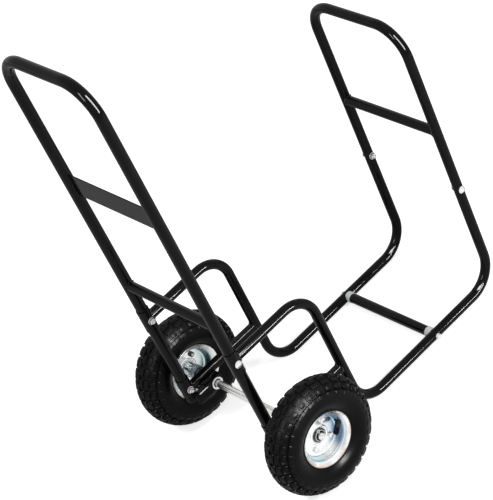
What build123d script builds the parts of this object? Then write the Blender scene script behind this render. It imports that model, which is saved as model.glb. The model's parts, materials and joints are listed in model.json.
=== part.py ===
from build123d import *
from math import asin, atan2, cos, degrees, hypot, radians, sin, tan
import os

# Firewood cart parked on its two tyres and on the front bends of its side rails.
# Millimetres and degrees. +X is the right side, +Y the front, +Z is up and the floor is Z = 0.

# Tube stock and the gap that a coped or butted weld leaves
frame_tube_od = 22.0
frame_tube_wall = 1.5
handle_tube_od = 25.0
handle_tube_wall = 1.5
weld_gap = 0.1

# Handle, with heights above the axis of the base rails
handle_height = 1057.0
handle_bend_radius = 72.0
handle_set_out = 2.5
handle_crossbar_level = 437.0
slat_level = 723.0
slat_height = 57.0
slat_thickness = 2.5
slat_edge_radius = 0.8
leg_overhang = 4.0
leg_plug_cap = 3.0
leg_plug_stem = 14.0
leg_plug_edge = 1.0

# Sleeves on the handle legs
sleeve_length = 58.0
sleeve_wall = 1.5
sleeve_clearance = 0.2
sleeve_drop = 4.0

# Side rails, with distances forward of the handle legs
rail_spacing = 284.0
loop_level = 340.0
loop_reach = 211.5
loop_bend_radius = 62.0
base_length = 630.0
front_bend_radius = 70.0
front_lean = 2.7
stub_length = 268.0
base_crossbar_reach = 441.0

# Front hoop, with lengths measured up its legs from the rail axis
hoop_height = 668.0
hoop_bend_radius = 70.0
hoop_crossbar_level = 407.0
hoop_seam_gap = 0.3
connector_depth = 45.0
connector_wall = 1.5
connector_clearance = 0.15
front_bolt_drop = 15.5

# Base crossbar and its end pieces
saddle_diameter = 24.0
saddle_length = 9.0
saddle_wrap = 5.0
plug_length = 22.0
plug_clearance = 0.1

# Axle bearers, hangers and axle
bearer_level = 127.0
bearer_size = 20.0
bearer_wall = 1.5
bearer_corner_radius = 2.5
hanger_width = 56.0
hanger_sheet = 3.0
hanger_setback = 3.0
hanger_front = 18.0
hanger_skirt = 15.0
hanger_bend_radius = 4.5
hanger_corner_radius = 8.0
axle_diameter = 16.0
axle_reach = 55.0
axle_headroom = 2.9
axle_clearance = 0.1
axle_chamfer = 1.0
axle_overhang = 3.0

# Washers and split pins on the axle
axle_washer_od = 28.0
axle_washer_thickness = 2.2
axle_washer_seat = 0.1
wheel_end_play = 0.3
split_pin_diameter = 3.0
split_pin_clearance = 0.15
split_pin_margin = 4.0
split_pin_eye = 4.0

# Bolts, nuts and washers of the frame
bolt_diameter = 8.0
bolt_clearance = 0.2
dome_diameter = 17.0
dome_height = 4.5
washer_od = 16.0
washer_thickness = 1.6
nut_flats = 13.0
nut_height = 6.2
nut_collar_height = 1.8
nut_clearance = 0.05
bolt_tail = 2.5

# Wheel hub
hub_od = 33.0
hub_bore = 23.0
hub_inboard = 44.0
hub_outboard = 2.5
bush_flange_od = 28.0
bush_flange = 1.8
bush_depth = 15.0
bush_fit = 0.02
bush_running_gap = 0.05

# Split rim, with sizes of the sheet's middle line
rim_sheet = 2.0
rim_lip_radius = 62.5
rim_lip_reach = 30.0
rim_seat_radius = 50.0
rim_seat_reach = 19.0
rim_disc_radius = 46.0
rim_disc_bend = 6.0
rim_seat_bend = 7.0
rim_bead_radius = 20.0
rim_bead_foot = 2.4
rim_bead_top = 0.8
rim_bead_height = 1.6
rim_bead_bend = 1.5
rim_seam_gap = 0.02
rim_bolt_circle = 63.0
rim_bolt_count = 4
rim_bolt_flats = 13.0
rim_bolt_head = 5.3

# Tyre and inner tube
tyre_diameter = 260.0
tyre_width = 82.0
tyre_crown = 9.0
tyre_wall = 5.5
tyre_belly_drop = 41.0
tyre_seat_gap = 0.15
tread_width = 60.0
tread_drop = 12.0
shoulder_drop = 15.0
shoulder_inset = 2.0
bead_toe_reach = 13.0
bead_width = 8.0
bead_rise = 3.5
block_count = 30
gap_angle = 3.0
gap_depth = 3.5
nose_gap_half = 7.6
nose_gap_reach = 6.5
nose_gap_depth = 2.8
button_length = 9.0
bar_depth = 1.3
bar_drop = 7.5
bar_end_inset = 0.5
ledge_width = 1.6
ledge_depth = 1.1
tread_groove_width = 2.9
tread_groove_depth = 3.0
inner_groove_reach = 12.0
outer_groove_reach = 25.0
centre_groove_width = 1.0
inner_tube_wall = 2.0
inner_tube_gap = 0.3
inner_tube_side_gap = 9.5

# Valve
valve_reach = 7.0
valve_tilt = 31.0
valve_diameter = 8.0
valve_hole_clearance = 0.2
valve_length = 26.0
valve_cap_diameter = 9.0
valve_cap_length = 9.0
valve_cap_top = 1.5
valve_cap_clearance = 0.1
valve_thread = 5.5

# Sizes that follow from those above
frame_tube_bore = frame_tube_od - 2 * frame_tube_wall
handle_tube_bore = handle_tube_od - 2 * handle_tube_wall
rail_x = rail_spacing / 2
handle_x = rail_x + handle_set_out
sleeve_bore = handle_tube_od + 2 * sleeve_clearance
sleeve_od = sleeve_bore + 2 * sleeve_wall
upper_sleeve_level = loop_level - sleeve_drop
lower_sleeve_level = bearer_level
leg_bottom = lower_sleeve_level - sleeve_length / 2 - leg_overhang
bolt_hole = bolt_diameter + 2 * bolt_clearance
front_bolt_level = stub_length - front_bolt_drop
hanger_top = bearer_level - bearer_size / 2 - weld_gap
axle_level = hanger_top - hanger_sheet - axle_headroom - axle_diameter / 2
tyre_radius = tyre_diameter / 2

# The parked stance: the tyres and the front bends touch the floor, which tips the frame forward
lean = radians(front_lean)
nose_y = base_length + front_bend_radius * (tan(lean) - 1 / cos(lean))
nose_run = nose_y - axle_reach
nose_rise = front_bend_radius - axle_level
nose_radius = front_bend_radius + frame_tube_od / 2
stance_tilt = atan2(nose_rise, nose_run) + asin((tyre_radius - nose_radius) / hypot(nose_run, nose_rise))


def forward_of(y, z):
    """World Y of a point of the frame, before the cart is centred."""
    return y * cos(stance_tilt) + z * sin(stance_tilt)


def height_of(y, z):
    """World Z of a point of the frame, before the cart is set on the floor."""
    return z * cos(stance_tilt) - y * sin(stance_tilt)


hoop_top_y = base_length + hoop_height * sin(lean)
hoop_top_z = hoop_height * cos(lean)
rear_edge = forward_of(axle_reach, axle_level) - tyre_radius
front_edge = forward_of(hoop_top_y, hoop_top_z) + frame_tube_od / 2
stance = Plane(
    (0, -(rear_edge + front_edge) / 2, tyre_radius - height_of(axle_reach, axle_level)),
    x_dir=(1, 0, 0),
    z_dir=(0, sin(stance_tilt), cos(stance_tilt)),
)
axle_centre = stance.from_local_coords((0, axle_reach, axle_level))


def cart_side(x):
    """Upright plane along the cart, drawn forward and up, facing right."""
    return Plane(stance.from_local_coords((x, 0, 0)), x_dir=stance.y_dir, z_dir=stance.x_dir)


def cart_face(y):
    """Upright plane across the cart, drawn right and up, facing back."""
    return Plane(stance.from_local_coords((0, y, 0)), x_dir=stance.x_dir, z_dir=-stance.y_dir)


def across_legs(frame_plane, level):
    """Plane square to a bent frame's legs, drawn right and forward, facing up the legs."""
    return Plane(
        frame_plane.from_local_coords((0, level, 0)),
        x_dir=frame_plane.x_dir,
        z_dir=frame_plane.y_dir,
    )


def cart_spot(x, y, z, side=1):
    """Place on the frame whose local X points away from the cart's middle."""
    return stance.location * Location((x, y, z), (0, 0, 0 if side > 0 else 180))


def hoop_spot(x, level, side=1):
    """Place on a hoop leg whose local X points away from the cart's middle."""
    return cart_spot(x, base_length + level * sin(lean), level * cos(lean), side)


handle_plane = cart_face(0)
hoop_plane = Plane(
    stance.from_local_coords((0, base_length, 0)),
    x_dir=stance.x_dir,
    z_dir=stance.z_dir * sin(lean) - stance.y_dir * cos(lean),
)
right = 1
sides = (("left", -right), ("right", right))
os.makedirs("parts", exist_ok=True)


def save(part, name):
    part.label = name
    export_step(part, f"parts/{name}.step")


# Handle: one tube bent to a tall U, drilled across for the leg bolts
with BuildPart() as handle_frame:
    with BuildLine(handle_plane) as handle_path:
        FilletPolyline(
            (-handle_x, leg_bottom),
            (-handle_x, handle_height),
            (handle_x, handle_height),
            (handle_x, leg_bottom),
            radius=handle_bend_radius,
        )
    with BuildSketch(across_legs(handle_plane, leg_bottom)):
        with Locations((-handle_x, 0)):
            Circle(handle_tube_od / 2)
            Circle(handle_tube_bore / 2, mode=Mode.SUBTRACT)
    sweep(path=handle_path.wire())
    with BuildSketch(cart_side(0)):
        with Locations((0, upper_sleeve_level), (0, lower_sleeve_level)):
            Circle(bolt_hole / 2)
    extrude(amount=handle_x + handle_tube_od, both=True, mode=Mode.SUBTRACT)
save(handle_frame.part, "handle_frame")

# Slat: flat strip with eased edges, its ends hollowed to butt the legs
with BuildPart() as handle_slat:
    with BuildSketch(cart_side(0)):
        with Locations((0, slat_level)):
            RectangleRounded(slat_thickness, slat_height, slat_edge_radius)
    extrude(amount=handle_x, both=True)
    with BuildSketch(across_legs(handle_plane, slat_level)):
        with Locations((-handle_x, 0), (handle_x, 0)):
            Circle(handle_tube_od / 2 + weld_gap)
    extrude(amount=slat_height, both=True, mode=Mode.SUBTRACT)
save(handle_slat.part, "handle_slat")

# Handle crossbar: round tube coped to the legs
with BuildPart() as handle_crossbar:
    with BuildSketch(cart_side(0)):
        with Locations((0, handle_crossbar_level)):
            Circle(frame_tube_od / 2)
            Circle(frame_tube_bore / 2, mode=Mode.SUBTRACT)
    extrude(amount=handle_x, both=True)
    with BuildSketch(across_legs(handle_plane, handle_crossbar_level)):
        with Locations((-handle_x, 0), (handle_x, 0)):
            Circle(handle_tube_od / 2 + weld_gap)
    extrude(amount=frame_tube_od, both=True, mode=Mode.SUBTRACT)
save(handle_crossbar.part, "handle_crossbar")

# Leg end plugs: a low cap on each leg's lower end and a stem inside it
with BuildPart() as leg_end_plugs:
    with BuildSketch(across_legs(handle_plane, leg_bottom)):
        with Locations((-handle_x, 0), (handle_x, 0)):
            Circle(handle_tube_od / 2)
    extrude(amount=-leg_plug_cap)
    fillet(leg_end_plugs.edges().filter_by(GeomType.CIRCLE).group_by(Axis.Z)[0], leg_plug_edge)
    with BuildSketch(across_legs(handle_plane, leg_bottom)):
        with Locations((-handle_x, 0), (handle_x, 0)):
            Circle(handle_tube_bore / 2 - plug_clearance)
    extrude(amount=leg_plug_stem)
save(leg_end_plugs.part, "leg_end_plugs")

for side_name, side in sides:
    # Sleeves: short tubes over the handle leg, drilled for one bolt each
    for sleeve_name, level in (("upper", upper_sleeve_level), ("lower", lower_sleeve_level)):
        with BuildPart() as sleeve:
            with BuildSketch(across_legs(handle_plane, level)):
                with Locations((side * handle_x, 0)):
                    Circle(sleeve_od / 2)
                    Circle(sleeve_bore / 2, mode=Mode.SUBTRACT)
            extrude(amount=sleeve_length / 2, both=True)
            with BuildSketch(cart_side(side * handle_x)):
                with Locations((0, level)):
                    Circle(bolt_hole / 2)
            extrude(amount=sleeve_od, both=True, mode=Mode.SUBTRACT)
        save(sleeve.part, f"{side_name}_{sleeve_name}_sleeve")

    # Side rail: from the upper sleeve round the loop, along the base and up to the front joint
    with BuildPart() as side_rail:
        with BuildLine(cart_side(side * rail_x)) as rail_path:
            FilletPolyline(
                (0, loop_level),
                (loop_reach, loop_level),
                (loop_reach, 0),
                (base_length, 0),
                (base_length + stub_length * sin(lean), stub_length * cos(lean)),
                radius=(loop_bend_radius, loop_bend_radius, front_bend_radius),
            )
        with BuildSketch(cart_face(0)):
            with Locations((side * rail_x, loop_level)):
                Circle(frame_tube_od / 2)
                Circle(frame_tube_bore / 2, mode=Mode.SUBTRACT)
        sweep(path=rail_path.wire())
        with BuildSketch(across_legs(handle_plane, loop_level)):
            with Locations((side * handle_x, 0)):
                Circle(sleeve_od / 2 + weld_gap)
        extrude(amount=frame_tube_od, both=True, mode=Mode.SUBTRACT)
        front_bolt_y = base_length + front_bolt_level * sin(lean)
        with BuildSketch(cart_side(side * rail_x)):
            with Locations((base_crossbar_reach, 0), (front_bolt_y, front_bolt_level * cos(lean))):
                Circle(bolt_hole / 2)
        extrude(amount=frame_tube_od, both=True, mode=Mode.SUBTRACT)
    save(side_rail.part, f"{side_name}_side_rail")

    # Axle bearer: square tube from the lower sleeve to the loop's down-leg, coped at both ends
    with BuildPart() as axle_bearer:
        with BuildSketch(cart_face(0)):
            with Locations((side * rail_x, bearer_level)):
                RectangleRounded(bearer_size, bearer_size, bearer_corner_radius)
                Rectangle(
                    bearer_size - 2 * bearer_wall,
                    bearer_size - 2 * bearer_wall,
                    mode=Mode.SUBTRACT,
                )
        extrude(amount=-loop_reach)
        with BuildSketch(across_legs(handle_plane, bearer_level)):
            with Locations((side * handle_x, 0)):
                Circle(sleeve_od / 2 + weld_gap)
            with Locations((side * rail_x, loop_reach)):
                Circle(frame_tube_od / 2 + weld_gap)
        extrude(amount=bearer_size, both=True, mode=Mode.SUBTRACT)
    save(axle_bearer.part, f"{side_name}_axle_bearer")

    # Axle hanger: folded U of plate under the bearer, with the axle through both cheeks
    hanger_rear_y = sleeve_od / 2 + hanger_setback
    hanger_front_y = axle_reach + hanger_front
    hanger_foot = axle_level - hanger_skirt
    with BuildPart() as axle_hanger:
        cheek_x = (hanger_width - hanger_sheet) / 2
        fold_level = hanger_top - hanger_sheet / 2
        with BuildSketch(cart_face(hanger_front_y)):
            with BuildLine() as hanger_line:
                FilletPolyline(
                    (side * rail_x - cheek_x, hanger_foot),
                    (side * rail_x - cheek_x, fold_level),
                    (side * rail_x + cheek_x, fold_level),
                    (side * rail_x + cheek_x, hanger_foot),
                    radius=hanger_bend_radius,
                )
            trace(hanger_line.line, hanger_sheet)
        extrude(amount=hanger_front_y - hanger_rear_y)
        cheek_corners = axle_hanger.edges().filter_by(Axis.X).sort_by(Axis.Z)[:4]
        fillet(cheek_corners, hanger_corner_radius)
        with BuildSketch(cart_side(side * rail_x)):
            with Locations((axle_reach, axle_level)):
                Circle(axle_diameter / 2 + axle_clearance)
        extrude(amount=hanger_width, both=True, mode=Mode.SUBTRACT)
    save(axle_hanger.part, f"{side_name}_axle_hanger")

# Front hoop: one tube bent to a U, standing on the rails' front stubs
with BuildPart() as front_hoop:
    hoop_foot = stub_length + hoop_seam_gap
    with BuildLine(hoop_plane) as hoop_path:
        FilletPolyline(
            (-rail_x, hoop_foot),
            (-rail_x, hoop_height),
            (rail_x, hoop_height),
            (rail_x, hoop_foot),
            radius=hoop_bend_radius,
        )
    with BuildSketch(across_legs(hoop_plane, hoop_foot)):
        with Locations((-rail_x, 0)):
            Circle(frame_tube_od / 2)
            Circle(frame_tube_bore / 2, mode=Mode.SUBTRACT)
    sweep(path=hoop_path.wire())
save(front_hoop.part, "front_hoop")

# Hoop connectors: tubes fixed inside the hoop's legs that slip into the stubs and take the front bolts
with BuildPart() as hoop_connectors:
    with BuildSketch(across_legs(hoop_plane, stub_length)):
        with Locations((-rail_x, 0), (rail_x, 0)):
            Circle(frame_tube_bore / 2 - connector_clearance)
            Circle(frame_tube_bore / 2 - connector_clearance - connector_wall, mode=Mode.SUBTRACT)
    extrude(amount=connector_depth, both=True)
    with BuildSketch(cart_side(0)):
        with Locations((base_length + front_bolt_level * sin(lean), front_bolt_level * cos(lean))):
            Circle(bolt_hole / 2)
    extrude(amount=rail_x + frame_tube_od, both=True, mode=Mode.SUBTRACT)
save(hoop_connectors.part, "hoop_connectors")

# Front crossbar: round tube coped to the hoop's legs
with BuildPart() as front_crossbar:
    with BuildSketch(cart_side(0)):
        with Locations((base_length + hoop_crossbar_level * sin(lean), hoop_crossbar_level * cos(lean))):
            Circle(frame_tube_od / 2)
            Circle(frame_tube_bore / 2, mode=Mode.SUBTRACT)
    extrude(amount=rail_x, both=True)
    with BuildSketch(across_legs(hoop_plane, hoop_crossbar_level)):
        with Locations((-rail_x, 0), (rail_x, 0)):
            Circle(frame_tube_od / 2 + weld_gap)
    extrude(amount=frame_tube_od, both=True, mode=Mode.SUBTRACT)
save(front_crossbar.part, "front_crossbar")

# Base crossbar: straight tube between the saddles
base_bar_end = rail_x - frame_tube_od / 2 - saddle_length
with BuildPart() as base_crossbar:
    with BuildSketch(cart_side(0)):
        with Locations((base_crossbar_reach, 0)):
            Circle(frame_tube_od / 2)
            Circle(frame_tube_bore / 2, mode=Mode.SUBTRACT)
    extrude(amount=base_bar_end, both=True)
save(base_crossbar.part, "base_crossbar")

# Saddles: spacers between the bar's ends and the rails, hollowed to sit on the rails
with BuildPart() as base_crossbar_saddles:
    for side_name, side in sides:
        with BuildSketch(cart_side(side * (base_bar_end + weld_gap))):
            with Locations((base_crossbar_reach, 0)):
                Circle(saddle_diameter / 2)
                Circle(bolt_hole / 2, mode=Mode.SUBTRACT)
        extrude(amount=side * (saddle_length + saddle_wrap - weld_gap))
    with BuildSketch(cart_face(base_crossbar_reach)):
        with Locations((-rail_x, 0), (rail_x, 0)):
            Circle(frame_tube_od / 2 + weld_gap)
    extrude(amount=saddle_diameter, both=True, mode=Mode.SUBTRACT)
save(base_crossbar_saddles.part, "base_crossbar_saddles")

# Plugs: threaded slugs in the bar's ends that the base bolts screw into
with BuildPart() as base_crossbar_plugs:
    for side_name, side in sides:
        with BuildSketch(cart_side(side * base_bar_end)):
            with Locations((base_crossbar_reach, 0)):
                Circle(frame_tube_bore / 2 - plug_clearance)
                Circle(bolt_diameter / 2 + nut_clearance, mode=Mode.SUBTRACT)
        extrude(amount=-side * plug_length)
save(base_crossbar_plugs.part, "base_crossbar_plugs")


def dome_bolt(shank):
    """Mushroom-head bolt along local X, with the seat of its head at zero."""
    with BuildPart() as bolt:
        with BuildSketch(Plane.XY):
            with BuildLine():
                Polyline(
                    (dome_height, 0),
                    (-shank, 0),
                    (-shank, bolt_diameter / 2),
                    (0, bolt_diameter / 2),
                    (0, dome_diameter / 2),
                )
                TangentArc((dome_height, 0), (0, dome_diameter / 2), tangent=(0, 1))
            make_face()
        revolve(axis=Axis.X)
    return bolt.part


def lock_nut():
    """Hexagon nut with a round collar, along local X from its seat at zero towards minus X."""
    with BuildPart() as nut:
        with BuildSketch(Plane.YZ):
            RegularPolygon(nut_flats / 2, 6, major_radius=False)
        extrude(amount=-nut_height)
        with BuildSketch(Plane.YZ.offset(-nut_height)):
            Circle(nut_flats / 2)
        extrude(amount=-nut_collar_height)
        with BuildSketch(Plane.YZ):
            Circle(bolt_diameter / 2 + nut_clearance)
        extrude(amount=-nut_height - nut_collar_height, mode=Mode.SUBTRACT)
    return nut.part


def flat_washer(bore, od, thickness):
    """Plain washer along local X from zero towards minus X."""
    with BuildPart() as washer:
        with BuildSketch(Plane.YZ):
            Circle(od / 2)
            Circle(bore / 2, mode=Mode.SUBTRACT)
        extrude(amount=-thickness)
    return washer.part


# Leg and front bolts, their heads outside and their washers and nuts towards the logs
fastener_stack = washer_thickness + nut_height + nut_collar_height + bolt_tail
leg_head_x = handle_x + sleeve_od / 2
leg_nut_x = handle_x - sleeve_od / 2
front_head_x = rail_x + frame_tube_od / 2
front_nut_x = rail_x - frame_tube_od / 2
leg_levels = (upper_sleeve_level, lower_sleeve_level)
side_signs = (-1, 1)
with BuildPart() as leg_bolts:
    with Locations(*[cart_spot(s * leg_head_x, 0, level, s) for s in side_signs for level in leg_levels]):
        add(dome_bolt(sleeve_od + fastener_stack))
save(leg_bolts.part, "leg_bolts")

with BuildPart() as front_bolts:
    with Locations(*[hoop_spot(s * front_head_x, front_bolt_level, s) for s in side_signs]):
        add(dome_bolt(frame_tube_od + fastener_stack))
save(front_bolts.part, "front_bolts")

with BuildPart() as flat_washers:
    with Locations(*[cart_spot(s * leg_nut_x, 0, level, s) for s in side_signs for level in leg_levels]):
        add(flat_washer(bolt_hole, washer_od, washer_thickness))
    with Locations(*[hoop_spot(s * front_nut_x, front_bolt_level, s) for s in side_signs]):
        add(flat_washer(bolt_hole, washer_od, washer_thickness))
save(flat_washers.part, "flat_washers")

with BuildPart() as lock_nuts:
    leg_nut_seat = leg_nut_x - washer_thickness
    front_nut_seat = front_nut_x - washer_thickness
    with Locations(*[cart_spot(s * leg_nut_seat, 0, level, s) for s in side_signs for level in leg_levels]):
        add(lock_nut())
    with Locations(*[hoop_spot(s * front_nut_seat, front_bolt_level, s) for s in side_signs]):
        add(lock_nut())
save(lock_nuts.part, "lock_nuts")

# Base bolts: through rail and saddle into the bar's plugs
with BuildPart() as base_crossbar_bolts:
    with Locations(*[cart_spot(s * front_head_x, base_crossbar_reach, 0, s) for s in side_signs]):
        add(dome_bolt(frame_tube_od + saddle_length + plug_length))
save(base_crossbar_bolts.part, "base_crossbar_bolts")

# Places along the axle, from the hanger outwards
hanger_outer_x = rail_x + hanger_width / 2
hanger_inner_x = rail_x - hanger_width / 2
spacer_x = hanger_outer_x + axle_washer_seat + axle_washer_thickness
hub_inner_x = spacer_x + wheel_end_play + bush_flange
wheel_x = hub_inner_x + hub_inboard
hub_outer_x = wheel_x + hub_outboard
end_washer_x = hub_outer_x + bush_flange + wheel_end_play + axle_washer_thickness
split_pin_x = end_washer_x + split_pin_clearance + split_pin_diameter / 2
axle_end_x = split_pin_x + split_pin_diameter / 2 + axle_overhang
axle_washer_bore = axle_diameter + 2 * axle_clearance


def axle_spot(x, side):
    """Place on the axle whose local X points away from the cart's middle."""
    return stance.location * Location((side * x, axle_reach, axle_level), (0, 0, 0 if side > 0 else 180))


# Axle: one bar through both hangers, cross-drilled for the split pins
with BuildPart() as axle:
    with BuildSketch(cart_side(0)):
        with Locations((axle_reach, axle_level)):
            Circle(axle_diameter / 2)
    extrude(amount=axle_end_x, both=True)
    chamfer(axle.edges().filter_by(GeomType.CIRCLE), axle_chamfer)
    with BuildSketch(Plane((0, axle_centre.Y, axle_centre.Z))):
        with Locations((-split_pin_x, 0), (split_pin_x, 0)):
            Circle(split_pin_diameter / 2 + split_pin_clearance)
    extrude(amount=axle_diameter, both=True, mode=Mode.SUBTRACT)
save(axle.part, "axle")

# Axle washers: locked against the inner cheeks, spacing the hubs off the outer ones, and under the pins
for washer_name, x in (
    ("axle_lock_washers", hanger_inner_x - axle_washer_seat),
    ("axle_spacer_washers", spacer_x),
    ("axle_end_washers", end_washer_x),
):
    with BuildPart() as axle_washers:
        with Locations(*[axle_spot(x, s) for s in side_signs]):
            add(flat_washer(axle_washer_bore, axle_washer_od, axle_washer_thickness))
    save(axle_washers.part, washer_name)

# Split pins: a round eye above the axle and a straight double leg through it
with BuildPart() as split_pins:
    for side_name, side in sides:
        pin_base = (side * split_pin_x, axle_centre.Y, axle_centre.Z - axle_diameter / 2 - split_pin_margin)
        pin_length = axle_diameter + 2 * split_pin_margin
        with BuildSketch(Plane(pin_base)):
            Circle(split_pin_diameter / 2)
        extrude(amount=pin_length)
        eye_z = pin_base[2] + pin_length + split_pin_eye - split_pin_diameter / 2
        eye_plane = Plane((pin_base[0], pin_base[1], eye_z), x_dir=(0, 1, 0), z_dir=(1, 0, 0))
        with BuildSketch(eye_plane):
            Circle(split_pin_eye)
            Circle(split_pin_eye - split_pin_diameter / 2, mode=Mode.SUBTRACT)
        extrude(amount=split_pin_diameter / 4, both=True)
save(split_pins.part, "split_pins")

# The rim sheet's middle line in the wheel's section: out from the mid-plane and up from the axle
rim_disc_line = rim_sheet / 2 + rim_seam_gap
with BuildLine() as rim_line:
    FilletPolyline(
        (rim_disc_line, hub_bore / 2),
        (rim_disc_line, rim_bead_radius - rim_bead_foot),
        (rim_disc_line + rim_bead_height, rim_bead_radius - rim_bead_top),
        (rim_disc_line + rim_bead_height, rim_bead_radius + rim_bead_top),
        (rim_disc_line, rim_bead_radius + rim_bead_foot),
        (rim_disc_line, rim_disc_radius),
        (rim_seat_reach, rim_seat_radius),
        (rim_lip_reach, rim_lip_radius),
        radius=(*[rim_bead_bend] * 4, rim_disc_bend, rim_seat_bend),
    )
rim_bolt_radius = rim_bolt_circle / 2


def wheel_section(side):
    """Plane through the axle, drawn outwards from the wheel's mid-plane and up."""
    return Plane(
        (side * wheel_x, axle_centre.Y, axle_centre.Z),
        x_dir=(side, 0, 0),
        z_dir=(0, -side, 0),
    )


def wheel_face(side, reach):
    """Plane square to the axle at a reach outwards from the wheel's mid-plane, facing outwards."""
    return Plane(
        (side * (wheel_x + reach), axle_centre.Y, axle_centre.Z),
        x_dir=(0, 1, 0),
        z_dir=(side, 0, 0),
    )


def wheel_axis(side):
    """The axle's line through one wheel."""
    return Axis((side * wheel_x, axle_centre.Y, axle_centre.Z), (1, 0, 0))


def seat_radius_at(reach):
    """Radius of the rim sheet's middle line on the bead seat, at a reach from the mid-plane."""
    slope = (rim_seat_radius - rim_disc_radius) / (rim_seat_reach - rim_disc_line)
    return rim_disc_radius + slope * (reach - rim_disc_line)


def valve_line(side):
    """Plane through the axle and the valve, whose X runs out along the valve from the bead seat."""
    tilt = radians(valve_tilt)
    forward_radius = axle_centre.Y + seat_radius_at(valve_reach)
    return Plane(
        (side * (wheel_x + valve_reach), forward_radius, axle_centre.Z),
        x_dir=(side * sin(tilt), -cos(tilt), 0),
        z_dir=(0, 0, side),
    )


crown_arc = ((tread_width / 2) ** 2 + tread_drop**2) / (2 * tread_drop)
crown_reaches = (0, inner_groove_reach, outer_groove_reach, tread_width / 2)
shoulder = (tyre_width / 2 - shoulder_inset, tyre_radius - tread_drop - shoulder_drop)
shoulder_slope = atan2(shoulder_drop, shoulder[0] - tread_width / 2)
bar_end = (tyre_width / 2 - bar_end_inset, shoulder[1] - bar_drop)


def crown_spot(reach):
    """Place on the tread's round at a reach from the mid-plane, drawn along the skin and outwards."""
    slope = asin(reach / crown_arc)
    return Location((reach, tyre_radius - crown_arc + crown_arc * cos(slope)), -degrees(slope))


def shoulder_spot(run):
    """Place on the tyre's shoulder at a run from the tread's edge, drawn along the skin and outwards."""
    reach = tread_width / 2 + run * cos(shoulder_slope)
    return Location((reach, tyre_radius - tread_drop - run * sin(shoulder_slope)), -degrees(shoulder_slope))


def under(spot, depth):
    """Point of the tyre's section at a depth under a place on its skin."""
    return (spot * Location((0, -depth))).position


def tread_gap(facing):
    """Gap between two blocks of each row on one half of a tyre, at the wheel's top, and its wide nose."""
    clear_reach = tyre_width / 2 + gap_depth
    clear_radius = tyre_radius + gap_depth
    nose_level = axle_centre.Z + tyre_radius - nose_gap_depth
    nose_floor = Plane((wheel_x, axle_centre.Y, nose_level), x_dir=(facing, 0, 0), z_dir=(0, 0, 1))
    with BuildPart() as gap:
        with BuildSketch(wheel_section(right)):
            with BuildLine():
                Polyline(
                    *[under(crown_spot(reach), gap_depth) for reach in crown_reaches],
                    under(shoulder_spot(button_length), gap_depth),
                    under(shoulder_spot(button_length + ledge_width), bar_depth),
                    (shoulder[0] - bar_depth, shoulder[1]),
                    (bar_end[0] - bar_depth, bar_end[1] + bar_depth),
                    (clear_reach, bar_end[1] + bar_depth),
                    (clear_reach, clear_radius),
                    (0, clear_radius),
                    close=True,
                )
            make_face()
            if facing < 0:
                mirror(about=Plane.YZ, mode=Mode.REPLACE)
        revolve(axis=wheel_axis(right), revolution_arc=gap_angle)
    with BuildPart() as nose_gap:
        with BuildSketch(nose_floor):
            with BuildLine():
                Polyline((0, -nose_gap_half), (nose_gap_reach, 0), (0, nose_gap_half), close=True)
            make_face()
        extrude(amount=nose_gap_depth + gap_depth)
    return [gap.part.rotate(wheel_axis(right), -gap_angle / 2), nose_gap.part]


crown_fall = tyre_radius - crown_spot(inner_groove_reach).position.Y
crown_slope = crown_fall / (inner_groove_reach - centre_groove_width / 2)
crown_peak = (0, tyre_radius + crown_slope * centre_groove_width / 2)

# Tyre: beads seated in the rim flanges, and blocks in three rows on each half of the round tread,
# parted by grooves round it and by gaps across it, half a block out of step. One moulding for both sides
with BuildPart() as tyre:
    belly = (tyre_width / 2, tyre_radius - tyre_belly_drop)
    inner_belly = (tyre_width / 2 - tyre_wall, tyre_radius - tyre_belly_drop)
    inner_crown = (0, tyre_radius - tyre_crown)
    inner_shoulder = (tread_width / 2 - tyre_wall, tyre_radius - tread_drop - tyre_crown)
    bead_heel = (rim_lip_reach + rim_sheet / 2, rim_lip_radius + bead_rise)
    bead_top = (rim_lip_reach - bead_width, rim_lip_radius + bead_rise)
    with BuildSketch(wheel_section(right)):
        with BuildLine():
            crown_points = [crown_spot(reach).position for reach in crown_reaches[1:]]
            Polyline(crown_peak, *crown_points, shoulder, bar_end)
            TangentArc(belly, bar_end, tangent=(0, 1))
            TangentArc(belly, bead_heel, tangent=(0, -1))
            Line(bead_heel, (rim_lip_reach, rim_lip_radius))
            FilletPolyline(
                (rim_lip_reach, rim_lip_radius),
                (rim_seat_reach, rim_seat_radius),
                (bead_toe_reach, seat_radius_at(bead_toe_reach)),
                radius=rim_seat_bend,
            )
            Line((bead_toe_reach, seat_radius_at(bead_toe_reach)), bead_top)
            TangentArc(inner_belly, bead_top, tangent=(0, -1))
            TangentArc(inner_belly, inner_shoulder, tangent=(0, 1))
            TangentArc(inner_crown, inner_shoulder, tangent=(1, 0))
            Line(inner_crown, crown_peak)
        make_face()
        with Locations(crown_spot(0)):
            Rectangle(centre_groove_width, 2 * tread_groove_depth, mode=Mode.SUBTRACT)
        with Locations(crown_spot(inner_groove_reach), crown_spot(outer_groove_reach)):
            Rectangle(tread_groove_width, 2 * tread_groove_depth, mode=Mode.SUBTRACT)
        with Locations(shoulder_spot(button_length + ledge_width / 2)):
            Rectangle(ledge_width, 2 * ledge_depth, mode=Mode.SUBTRACT)
        trace(rim_line.line, rim_sheet + 2 * tyre_seat_gap, mode=Mode.SUBTRACT)
        mirror(about=Plane.YZ)
    revolve(axis=wheel_axis(right))
    block_pitch = 360 / block_count
    for facing, first_turn in ((1, 0), (-1, block_pitch / 2)):
        turns = [first_turn + block_pitch * count for count in range(block_count)]
        for cut in tread_gap(facing):
            add([cut.rotate(wheel_axis(right), turn) for turn in turns], mode=Mode.SUBTRACT)

inner_tube_top = tyre_radius - tyre_crown - inner_tube_gap
inner_tube_bottom = rim_lip_radius + rim_sheet / 2


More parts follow.
